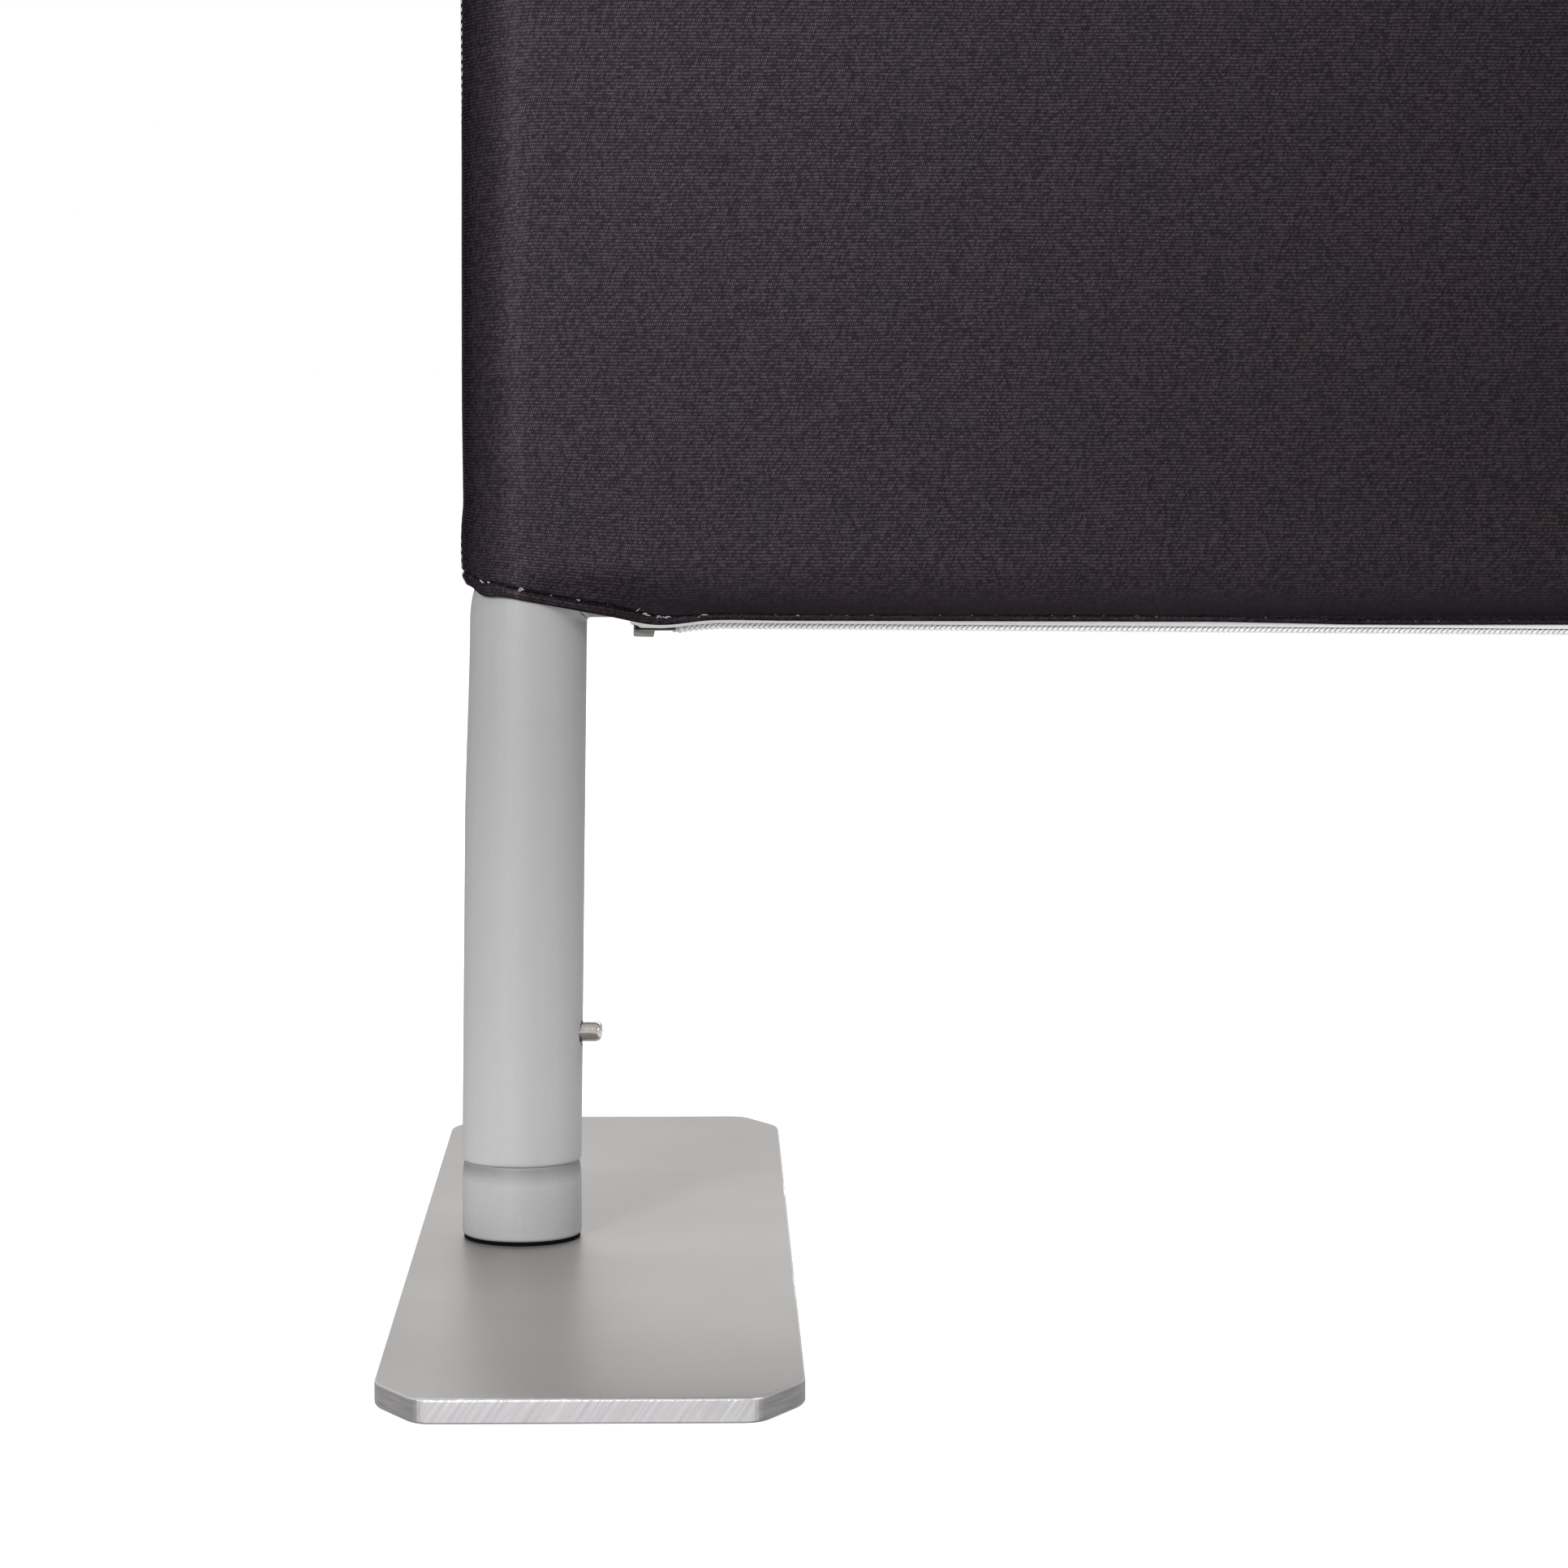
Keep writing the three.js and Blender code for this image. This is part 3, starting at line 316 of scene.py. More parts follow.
class Nodes:
    """A node tree, with short calls to add nodes and link them."""

    def __init__(self, tree):
        self.tree = tree

    def put(self, value, socket):
        if isinstance(value, bpy.types.NodeSocket):
            self.tree.links.new(value, socket)
        else:
            socket.default_value = value

    def add(self, kind, inputs=None, **settings):
        node = self.tree.nodes.new(kind)
        for name, value in settings.items():
            setattr(node, name, value)
        for name, value in (inputs or {}).items():
            self.put(value, node.inputs[name])
        return node

    def math(self, operation, *values):
        return self.add("ShaderNodeMath", dict(enumerate(values)), operation=operation).outputs[0]

    def plus(self, first, second):
        return self.math("ADD", first, second)

    def less(self, first, second):
        return self.math("SUBTRACT", first, second)

    def times(self, first, second):
        return self.math("MULTIPLY", first, second)

    def fit(self, value, low, high, to_low=0, to_high=1):
        names = ("From Min", "From Max", "To Min", "To Max")
        inputs = {"Value": value, **dict(zip(names, (low, high, to_low, to_high)))}
        return self.add("ShaderNodeMapRange", inputs, clamp=True).outputs[0]

    def shown(self):
        """1 for what the camera sees, straight on or in metal and glass."""
        path = self.add("ShaderNodeLightPath").outputs
        seen = self.math("MAXIMUM", path["Is Camera Ray"], path["Is Glossy Ray"])
        return self.math("MAXIMUM", seen, path["Is Transmission Ray"])


class Look(Nodes):
    """A material, with calls for its textures and its shader. Constants are named as the shader's sockets."""

    def __init__(self, name, **constants):
        self.material = bpy.data.materials.new(name)
        self.material.use_nodes = True
        super().__init__(self.material.node_tree)
        self.shader = self.tree.nodes["Principled BSDF"].inputs
        for socket, value in constants.items():
            self.shader[socket.replace("_", " ").title().replace("Ior", "IOR")].default_value = value
        self.where = self.add("ShaderNodeTexCoord").outputs["Object"]

    def split(self, vector):
        return self.add("ShaderNodeSeparateXYZ", {"Vector": vector}).outputs

    def noise(self, scale, detail=2.0, stretch=(1, 1, 1), vector=None, distortion=0.0):
        mapped = self.add("ShaderNodeMapping", {"Vector": vector or self.where, "Scale": stretch}).outputs[0]
        inputs = {"Vector": mapped, "Scale": scale, "Detail": detail, "Distortion": distortion}
        return self.add("ShaderNodeTexNoise", inputs).outputs["Fac"]

    def wave(self, turns):
        """A smooth wave from 0 to 1 whose crests lie at whole turns."""
        return self.math("MULTIPLY_ADD", self.math("COSINE", self.times(turns, TURN)), 0.5, 0.5)

    def mix(self, share, first, second, blend="MIX"):
        node = self.add("ShaderNodeMix", {"Factor": share}, data_type="RGBA", blend_type=blend)
        for socket, value in ((node.inputs[6], first), (node.inputs[7], second)):
            self.put((*value, 1) if isinstance(value, tuple) else value, socket)
        return node.outputs[2]

    def scaled(self, colour, level):
        return self.add("ShaderNodeVectorMath", {0: colour, "Scale": level}, operation="SCALE").outputs[0]

    def colour(self, socket):
        self.put(socket, self.shader["Base Color"])

    def rough(self, socket):
        self.put(socket, self.shader["Roughness"])

    def bump(self, height, distance):
        inputs = {"Height": height, "Distance": distance, "Strength": 1.0}
        self.put(self.add("ShaderNodeBump", inputs).outputs["Normal"], self.shader["Normal"])


def anodised_tube(name="anodised_tube", metallic=0.2, low=1.17, shoulder=1.0):
    """Matt silver anodising with draw lines, with painted shade that makes it darker higher up and lighter low
    down, and, by shoulder, a painted shadow under the leg's rim.
    """
    look = Look(name, metallic=metallic, **MATT)
    grain = look.noise(2600, 2)
    drawn = look.noise(700, 3, stretch=(1, 1, 0.03))
    cloud = look.noise(9, 3)
    base = look.mix(look.fit(cloud, 0.3, 0.7), (0.455, 0.450, 0.454), (0.485, 0.480, 0.484))
    toothed = look.mix(look.fit(grain, 0.25, 0.75, 0.22, 0), base, (0.25, 0.247, 0.25))
    drawn_on = look.mix(look.fit(drawn, 0.3, 0.8, 0, 0.12), toothed, (0.33, 0.327, 0.33))
    height = look.split(look.where)["Z"]
    # Painted shadow: by shoulder, the colour darkens just under the leg's rim.
    rim_shadow = look.fit(height, LEG_FOOT_Z - 5 * MM, LEG_FOOT_Z - MM, 1.0, shoulder)
    rim_shadow = look.math("MAXIMUM", rim_shadow, look.fit(height, LEG_FOOT_Z - MM, LEG_FOOT_Z))
    # Painted shade: the colour is lighter low down, set by low, and darker higher up towards the cover.
    level = look.times(look.fit(height, 30 * MM, 145 * MM, low, 0.9), rim_shadow)
    look.colour(look.scaled(drawn_on, level))
    look.rough(look.fit(grain, 0.3, 0.7, 0.5, 0.62))
    look.bump(grain, 0.00004)
    return look.material


def plain_metal(name, colour, roughness, metallic=0.9, grain_scale=1500, stretch=(1, 1, 1)):
    """A metal with grain and patches of wear; stretch draws its grain out."""
    look = Look(name, metallic=metallic)
    grain = look.noise(grain_scale, 3, stretch=stretch)
    wear = look.noise(60, 4)
    darker = tuple(0.78 * c for c in colour)
    look.colour(look.mix(look.fit(wear, 0.35, 0.75, 0, 0.7), colour, darker))
    look.rough(look.fit(grain, 0.3, 0.7, roughness - 0.05, roughness + 0.08))
    look.bump(grain, 0.00002)
    return look.material


def plain_thread(name, colour):
    look = Look(name, roughness=0.9, specular_ior_level=0.05)
    fuzz = look.noise(2500, 2)
    look.colour(look.mix(look.fit(fuzz, 0.3, 0.7), colour, tuple(0.6 * c for c in colour)))
    look.bump(fuzz, 0.00003)
    return look.material


def satin_plate():
    """Satin steel, sawn with slanting marks on the ends and milled darker on the clipped corners, with a
    painted highlight and bright painted specks along its rounded edges.
    """
    look = Look("satin_plate", metallic=0.7, specular_ior_level=0.0, specular_tint=(0.85, 0.85, 0.85, 1))
    facing = look.split(look.add("ShaderNodeNewGeometry").outputs["True Normal"])
    flat = look.fit(look.math("ABSOLUTE", facing["Z"]), 0.9, 0.99)
    end = look.fit(look.math("ABSOLUTE", facing["Y"]), 0.8, 0.95)
    cloud = look.noise(14, 3, distortion=0.6)
    grain = look.noise(2400, 3, stretch=(0.35, 1, 1))
    satin = look.mix(look.fit(cloud, 0.3, 0.7), (0.370, 0.361, 0.353), (0.408, 0.398, 0.388))
    satin = look.mix(look.fit(grain, 0.3, 0.8, 0, 0.14), satin, (0.3, 0.297, 0.294))
    slanted = {"Vector": look.where, "Angle": math.radians(-32)}
    slanted = look.add("ShaderNodeVectorRotate", slanted, rotation_type="Y_AXIS").outputs[0]
    marks = look.noise(900, 4, stretch=(1, 1, 0.045), vector=slanted)
    broad = look.noise(260, 2, stretch=(1, 1, 0.1), vector=slanted)
    sawn = look.mix(look.fit(marks, 0.35, 0.75), (0.49, 0.48, 0.49), (0.38, 0.37, 0.38))
    sawn = look.mix(look.fit(broad, 0.4, 0.7, 0, 0.3), sawn, (0.38, 0.37, 0.38))
    mill = look.noise(1300, 3, stretch=(0.06, 0.06, 1))
    milled = look.mix(look.fit(mill, 0.3, 0.7), (0.235, 0.228, 0.23), (0.165, 0.16, 0.162))
    # Painted highlight: the rounded edges are lighter than the faces, with bright specks here and there along
    # them.
    highlight_specks = look.noise(110, 3, stretch=(1, 0.2, 1))
    edge_highlight = look.mix(look.fit(highlight_specks, 0.58, 0.7, 0, 0.9), (0.50, 0.495, 0.49), (0.95, 0.94, 0.94))
    rounded = look.times(look.fit(facing["Z"], 0.15, 0.5), look.fit(facing["Z"], 0.9, 0.99, 1, 0))
    edges = look.mix(rounded, look.mix(end, milled, sawn), edge_highlight)
    look.colour(look.mix(flat, edges, satin))
    look.rough(look.plus(look.times(flat, -0.09), look.fit(grain, 0.2, 0.8, 0.38, 0.48)))
    relief = look.times(look.less(1.0, flat), marks)
    look.bump(look.plus(relief, look.times(grain, 0.12)), 0.00022)
    return look.material


def ribbed_knit():
    """Fine horizontal ribs of twisted loops in a dark melange yarn with a satin gloss, with painted shade under
    the bottom rail, beside the leg above the hem, on the side wraps and towards the middle, and a painted
    highlight along the ridge over each upright.
    """
    look = Look("ribbed_knit", metallic=0.7, roughness=0.47, **MATT)
    uv = look.add("ShaderNodeUVMap", uv_map="cloth").outputs[0]
    along, up = look.split(uv)["X"], look.split(uv)["Y"]
    wander = look.noise(90, 3, stretch=(0.5, 1, 1), vector=uv)
    fuzz = look.noise(2600, 2, stretch=(0.6, 1, 1), vector=uv)
    drift = look.plus(look.fit(wander, 0.25, 0.75, -0.3, 0.3), look.fit(fuzz, 0.2, 0.8, -0.26, 0.26))
    rib = look.plus(look.math("DIVIDE", up, RIB_PITCH), drift)
    row = look.math("FLOOR", look.plus(rib, 0.5))
    loops = look.plus(look.math("DIVIDE", along, LOOP_PITCH), look.times(rib, -LOOP_TWIST))
    loops = look.plus(loops, look.fit(fuzz, 0.2, 0.8, -0.3, 0.3))
    cell = look.add("ShaderNodeCombineXYZ", {"X": look.math("FLOOR", loops), "Y": row}).outputs[0]
    chance = look.add("ShaderNodeTexWhiteNoise", {"Vector": cell}, noise_dimensions="2D").outputs
    ridge = look.math("MULTIPLY_ADD", look.wave(rib), 0.75, 0.25)
    knit = look.times(ridge, look.math("MULTIPLY_ADD", look.wave(loops), 0.7, 0.3))
    lively = look.times(knit, look.math("MULTIPLY_ADD", chance["Value"], 1.2, 0.38))
    hair = look.noise(5200, 1, vector=uv)
    bright = look.times(lively, look.fit(hair, 0.25, 0.75, 0.2, 1.52))

    place = look.split(look.where)
    off_leg = look.math("ABSOLUTE", place["X"])
    off_leg = look.fit(off_leg, UPRIGHT_X - 42 * MM, UPRIGHT_X - 16 * MM, 1, 0)
    # Painted shade: the yarn is dimmed where the cloth turns under the bottom rail, away from the leg.
    under = look.times(off_leg, look.fit(place["Z"], RAIL_Z - 13 * MM, RAIL_Z - 6 * MM, 1, 0))
    under = look.times(under, look.fit(place["Z"], HEM_LEVEL + 0.6 * MM, HEM_LEVEL + 1.4 * MM))
    shaded = {"Factor": look.times(under, 0.8), "A": bright, "B": look.fit(hair, 0.2, 0.8, 0.1, 0.28)}
    bright = look.add("ShaderNodeMix", shaded, data_type="FLOAT").outputs[0]
    yarn = look.mix(look.fit(look.noise(48, 3, vector=uv), 0.35, 0.65), YARN_WARM, YARN_COOL)
    yarn = look.mix(0.1, yarn, look.mix(1.0, yarn, chance["Color"], "MULTIPLY"))

    # Painted highlight: a narrow lighter band along the ridge where the cloth turns round each upright.
    aside = look.math("ABSOLUTE", along)
    off_ridge = look.math("DIVIDE", look.less(aside, UPRIGHT_X + 1.6 * MM), 3.2 * MM)
    ridge_highlight = look.math("EXPONENT", look.times(look.times(off_ridge, off_ridge), -1.0))
    # Painted shade: the cloth is darker towards the middle of the cover, and darker again on the side wraps
    # past the uprights.
    level = look.fit(aside, UPRIGHT_X - 330 * MM, UPRIGHT_X - 60 * MM, 0.74, 1.06)
    level = look.less(level, look.fit(aside, UPRIGHT_X + 3 * MM, UPRIGHT_X + 9 * MM, 0, 0.11))
    # Painted shade: a soft darker patch low on the cloth beside the leg, above the hem.
    hem_shade = look.fit(aside, UPRIGHT_X - 45 * MM, UPRIGHT_X - 25 * MM)
    hem_shade = look.times(hem_shade, look.fit(aside, UPRIGHT_X - MM, UPRIGHT_X + 3 * MM, 1, 0))
    hem_shade = look.times(hem_shade, look.fit(place["Z"], RAIL_Z - 6 * MM, RAIL_Z - MM, 0.4, 0))
    level = look.plus(look.less(level, hem_shade), look.times(ridge_highlight, 0.15))
    look.colour(look.scaled(look.mix(bright, GROUND_YARN, yarn), level))
    look.bump(look.plus(knit, look.fit(hair, 0, 1, 0, 0.2)), 0.00007)
    return look.material


def woven_tape():
    """White polyester tape in a plain weave."""
    look = Look("woven_tape", roughness=0.75)
    place = look.split(look.where)
    along = look.math("SINE", look.times(place["X"], TURN / (0.6 * MM)))
    across = look.math("SINE", look.times(place["Y"], TURN / (0.45 * MM)))
    weave = look.math("MULTIPLY_ADD", look.times(along, across), 0.5, 0.5)
    look.colour(look.mix(weave, (0.82, 0.815, 0.81), (0.95, 0.945, 0.94)))
    look.bump(weave, 0.00008)
    return look.material


def nylon_coil():
    """White monofilament, a little uneven in tint."""
    look = Look("nylon_coil", roughness=0.42)
    tint = look.noise(300, 2)
    look.colour(look.mix(look.fit(tint, 0.3, 0.7), (0.86, 0.855, 0.85), (0.94, 0.935, 0.93)))
    return look.material


TUBE_LOOK = anodised_tube()
# Its last two arguments set painted shade: lighter low down, and a painted shadow under the leg's rim.
COLLAR_LOOK = anodised_tube("turned_collar", 0.22, 1.09, 0.6)
NICKEL_LOOK = plain_metal("nickel_button", (0.42, 0.39, 0.37), 0.22, 1.0)
SLIDER_LOOK = plain_metal("slider_metal", (0.25, 0.24, 0.225), 0.42, 0.6, 1100, (1, 1, 0.2))
SATIN_LOOK = plain_metal("slider_nickel", (0.30, 0.29, 0.28), 0.36, 0.8)
# Near-black painted shade for the inside of the slider.
PAINTED_SHADE_LOOK = plain_metal("slider_painted_shade", (0.03, 0.029, 0.028), 0.5, 0.5)
SPRING_LOOK = plain_metal("spring_strip", (0.45, 0.46, 0.48), 0.32)
SCREW_LOOK = plain_metal("zinc_screw", (0.55, 0.55, 0.57), 0.35)
SLEEVE_LOOK = plain_metal("drawn_sleeve", (0.62, 0.62, 0.63), 0.4, 0.7, 900, (0.05, 1, 1))
RUBBER_LOOK = plain_thread("gasket_rubber", (0.004, 0.004, 0.0042))
PLATE_LOOK = satin_plate()
KNIT_LOOK = ribbed_knit()
TAPE_LOOK = woven_tape()
COIL_LOOK = nylon_coil()
THREAD_LOOK = plain_thread("hem_thread", (0.008, 0.0075, 0.0085))
FLECK_LOOK = plain_thread("white_thread", (0.72, 0.71, 0.72))


# Tubes

def folded_path(foot_x, foot_z, rail_z):
    """(centre, outward, distance from the fold) up the leg on the left, round its fold and along its arm."""
    bend_z, arm_x = rail_z - FOLD_RADIUS, FOLD_RADIUS - UPRIGHT_X
    path = []
    for share in np.arange(LEG_RINGS) / LEG_RINGS:
        x, z = foot_x + (-UPRIGHT_X - foot_x) * share, foot_z + (bend_z - foot_z) * share
        path.append(((x, 0, z), (-1, 0, 0), bend_z - z))
    for turn in QUARTER * np.arange(FOLD_RINGS + 1) / FOLD_RINGS:
        outward = (-math.cos(turn), 0, math.sin(turn))
        path.append(((arm_x + FOLD_RADIUS * outward[0], 0, bend_z + FOLD_RADIUS * outward[2]), outward, 0))
    for share in np.arange(1, FOLD_RINGS + 1) / FOLD_RINGS:
        off = (ARM_END_X - arm_x) * share
        path.append(((arm_x + off, 0, rail_z), (0, 0, 1), off))
    return path


def folded_tube(name, path, side, replaced):
    """A tube with its bore, flattened a little on the outside of its fold, as a closed mesh."""
    turn = np.arange(TUBE_SIDES)[:, None] * TURN / TUBE_SIDES

    def rings(radius):
        made = []
        for centre, outward, off in path:
            share = FOLD_FLAT_SHARE + (1 - FOLD_FLAT_SHARE) * smooth(off, 0, FOLD_FLAT_REACH)
            out = np.where(np.cos(turn) > 0, share, 1.0) * np.cos(turn)
            offset = radius * (out * np.array(outward) + np.sin(turn) * np.array([0, 1, 0]))
            made.append(np.array(centre) + offset)
        return made

    outside, inside = rings(TUBE_RADIUS), rings(TUBE_RADIUS - TUBE_WALL)
    foot = np.array(path[0][0])
    rim = arc((TUBE_RADIUS - TUBE_END_ROUND, TUBE_END_ROUND), TUBE_END_ROUND, -QUARTER, 0, 5)
    rim = [foot + (outside[0] - foot) * drawn / TUBE_RADIUS + (0, 0, rise) for drawn, rise in rim]
    loops = rim + outside[1:] + inside[::-1]
    faces = grid_faces(len(loops), TUBE_SIDES, loop_rows=True, loop_columns=True)[:, ::-1]
    return piece(name, *on_side(np.concatenate(loops), faces, side), TUBE_LOOK, "tube", replaced=replaced)


def lower_corner(side):
    """The leg and its arm, with the slightly oval hole of the snap button and the slit inside the fold."""
    path = folded_path(FOOT_X, LEG_FOOT_Z, RAIL_Z)
    made = folded_tube(f"leg_and_arm_{side}", path, side, [f"lower_corner_{side}"])
    start = np.array([SIGNS[side] * FOOT_X, 0, HOLE_Z])
    for turned in (0, HOLE_TURN):
        way = np.array([SIGNS[side] * math.cos(turned), math.sin(turned), 0])
        cut_away(made, *rod(start + way * 5 * MM, start + way * 25 * MM, BUTTON_HOLE_RADIUS))
    inner = np.array([FOLD_RADIUS - UPRIGHT_X, RAIL_Z - FOLD_RADIUS])
    along, across = np.array([(-1, 1), (1, 1)]) / math.sqrt(2)
    near, far, half = -3 * MM, FOLD_RADIUS - TUBE_RADIUS + SLIT_DEPTH, SLIT_WIDTH / 2
    ways = ((near, -half), (near, half), (far, half), (far, -half))
    corners = [inner + along * a + across * b for a, b in ways]
    points = np.array([(x, y, z) for y in (-2 * TUBE_RADIUS, 2 * TUBE_RADIUS) for x, z in corners])
    faces = [(0, 1, 2, 3), (7, 6, 5, 4), (0, 4, 5, 1), (1, 5, 6, 2), (2, 6, 7, 3), (3, 7, 4, 0)]
    cut_away(made, *on_side(points, faces, side))


def rail(name, z, half, replaced):
    """The middle length of a rail, an open tube with eased ends."""
    wall, drawn, end = TUBE_RADIUS - TUBE_WALL, TUBE_RADIUS - RAIL_END_EASE, half - RAIL_END_EASE
    between = [(TUBE_RADIUS, half * step / 20) for step in range(-19, 20)]
    profile = [(wall, -half), (drawn, -half), (TUBE_RADIUS, -end), *between]
    profile += [(TUBE_RADIUS, end), (drawn, half), (wall, half), (wall, -half)]
    piece(name, *revolved(profile, z, upright=False), TUBE_LOOK, "tube", replaced=replaced)


# Slabs

def eased(corners, tangent, steps=4):
    """A polygon with its corners rounded; tangent is how far each rounding reaches along the sides."""
    corners, points = np.array(corners, float), []
    for index, corner in enumerate(corners):
        ways = corners[index - 1] - corner, corners[(index + 1) % len(corners)] - corner
        lengths = [np.linalg.norm(way) for way in ways]
        reach = min(tangent, *(0.45 * length for length in lengths))
        start, end = (corner + way / length * reach for way, length in zip(ways, lengths))
        for t in np.linspace(0, 1, steps + 1):
            points.append((1 - t) ** 2 * start + 2 * t * (1 - t) * corner + t * t * end)
    return np.array(points)


def inset(outline, distance):
    """A convex outline drawn in by a distance, along the normals of its corners."""
    ahead, behind = unit(np.roll(outline, -1, 0) - outline), unit(outline - np.roll(outline, 1, 0))
    along = unit(ahead + behind)
    stretch = 1 / np.maximum(0.7, (along * ahead).sum(1))
    return outline + np.stack([-along[:, 1], along[:, 0]], 1) * distance * stretch[:, None]


def slab(outline, low, high, round_low, round_high, steps=4):
    """A slab of that outline whose top and bottom edges are rounded over."""
    levels = arc((round_low, low + round_low), round_low, -QUARTER, -math.pi, steps)
    levels += arc((round_high, high - round_high), round_high, math.pi, QUARTER, steps)
    rings = [np.column_stack([inset(outline, drawn), np.full(len(outline), z)]) for drawn, z in levels]
    return np.concatenate(rings), capped(len(levels), len(outline))


def lying(mesh):
    """A slab turned so that its outline stands in the XZ plane and its thickness runs along Y."""
    points, faces = mesh
    return points[:, [0, 2, 1]], [tuple(reversed(f)) for f in faces]


def joined(*meshes):
    points, faces, count = [], [], 0
    for some_points, some_faces in meshes:
        points.append(some_points)
        faces += [tuple(int(corner) + count for corner in face) for face in some_faces]
        count += len(some_points)
    return np.concatenate(points), faces


# Feet

def plate_outline():
    """A rectangle with clipped corners, each of its eight corners rounded."""
    half_x, half_y = (PLATE_HIGH.x - PLATE_LOW.x) / 2, (PLATE_HIGH.y - PLATE_LOW.y) / 2
    clip_x, clip_y = PLATE_CLIP
    corners = []
    for sx, sy in ((1, -1), (1, 1), (-1, 1), (-1, -1)):
        pair = [(sx * (half_x - clip_x), sy * half_y), (sx * half_x, sy * (half_y - clip_y))]
        corners += pair if sx * sy < 0 else pair[::-1]
    return eased(corners, PLATE_CORNER_ROUND, 8)


def foot(side):
    """A base plate, its gasket, the collar with its spigot, and the snap button."""
    sign = SIGNS[side]
    x = sign * FOOT_X
    outline = plate_outline() + np.array([sign * (PLATE_LOW.x + PLATE_HIGH.x) / 2, 0])
    made = slab(outline, PLATE_LOW.z, PLATE_HIGH.z, PLATE_BEVEL, PLATE_BEVEL)
    plate = piece(f"plate_{side}", *made, PLATE_LOOK, "plate", replaced=[f"base_plate_{side}"])
    cut_away(plate, *revolved(np.array(SCREW_SEAT) * MM, x, 48))

    bore, radius, drawn = GASKET_BORE_RADIUS, GASKET_HIGH.x - FOOT_X, GASKET_HIGH.x - FOOT_X - GASKET_EASE
    low, high = GASKET_LOW.z, GASKET_HIGH.z
    profile = [(bore, low), (drawn, low), (radius, low + GASKET_EASE), (radius, high - GASKET_EASE)]
    profile += [(drawn, high), (bore, high), (bore, low)]
    piece(f"gasket_{side}", *revolved(profile, x), RUBBER_LOOK, "rubber", replaced=[f"base_gasket_{side}"])

    low, shoulder, top = SPIGOT_LOW.z, LEG_FOOT_Z, SPIGOT_HIGH.z
    draw, reach = COLLAR_SHOULDER
    profile = [(0.0, low)]
    profile += arc((TUBE_RADIUS - COLLAR_FOOT_ROUND, low + COLLAR_FOOT_ROUND), COLLAR_FOOT_ROUND, -QUARTER, 0)
    profile += arc((TUBE_RADIUS - draw, shoulder - reach), COLLAR_SHOULDER, 0, QUARTER, 8)
    profile += [(SPIGOT_RADIUS, shoulder), (SPIGOT_RADIUS, top - SPIGOT_CHAMFER)]
    profile += [(SPIGOT_RADIUS - SPIGOT_CHAMFER, top), (SPIGOT_BORE_RADIUS, top)]
    profile += [(SPIGOT_BORE_RADIUS, shoulder + SPIGOT_FLOOR), (0.0, shoulder + SPIGOT_FLOOR)]
    spigot = revolved(profile, x)
    spigot = piece(f"collar_{side}", *spigot, COLLAR_LOOK, "sleeve", replaced=[f"base_spigot_{side}"])
    cut_away(spigot, *rod((x, 0, PIN_Z), (x + sign * 25 * MM, 0, PIN_Z), BUTTON_RADIUS + BUTTON_PLAY))

    inner, tip = BUTTON_LOW.x, BUTTON_HIGH.x + BUTTON_LONGER
    wide, thick = BUTTON_FLANGE
    profile = [(0.0, inner), (wide, inner), (wide, inner + thick), (BUTTON_RADIUS, inner + thick)]
    profile += arc((BUTTON_RADIUS - BUTTON_TIP_ROUND, tip - BUTTON_TIP_ROUND), BUTTON_TIP_ROUND, 0, QUARTER, 8)
    profile.append((0.0, tip + BUTTON_DOME))
    made, button = on_side(*revolved(profile, PIN_Z, 48, upright=False), side), f"foot_button_{side}"
    piece(f"snap_button_{side}", *made, NICKEL_LOOK, "button", button, [button])


# Cover

@functools.cache
def softened(stops, soften, steps=1600):
    """A line through (place, value) stops in mm, as places and values in metres, with its corners softened."""
    places, values = np.array(stops).T * MM
    fine = np.linspace(places[0], places[-1], steps)
    half = max(1, round(soften / (fine[1] - fine[0])))
    kernel = np.hanning(2 * half + 3)
    padded = np.pad(np.interp(fine, places, values), half + 1, mode="edge")
    return fine, np.convolve(padded, kernel / kernel.sum(), "valid")


def drawn_line(stops, at, soften=4 * MM):
    """The value at a place along a softened line through the stops."""
    return np.interp(at, *softened(stops, soften))


def hem_height(s):
    """Height of the hem's edge, at a distance s from the middle of the cover along its width."""
    return HEM_LEVEL + drawn_line(HEM_LINE, UPRIGHT_X - np.abs(s))


def stitch_rise(s):
    """Distance of the hem's stitches from its edge."""
    return drawn_line(STITCH_DRAWN, UPRIGHT_X - np.abs(s))


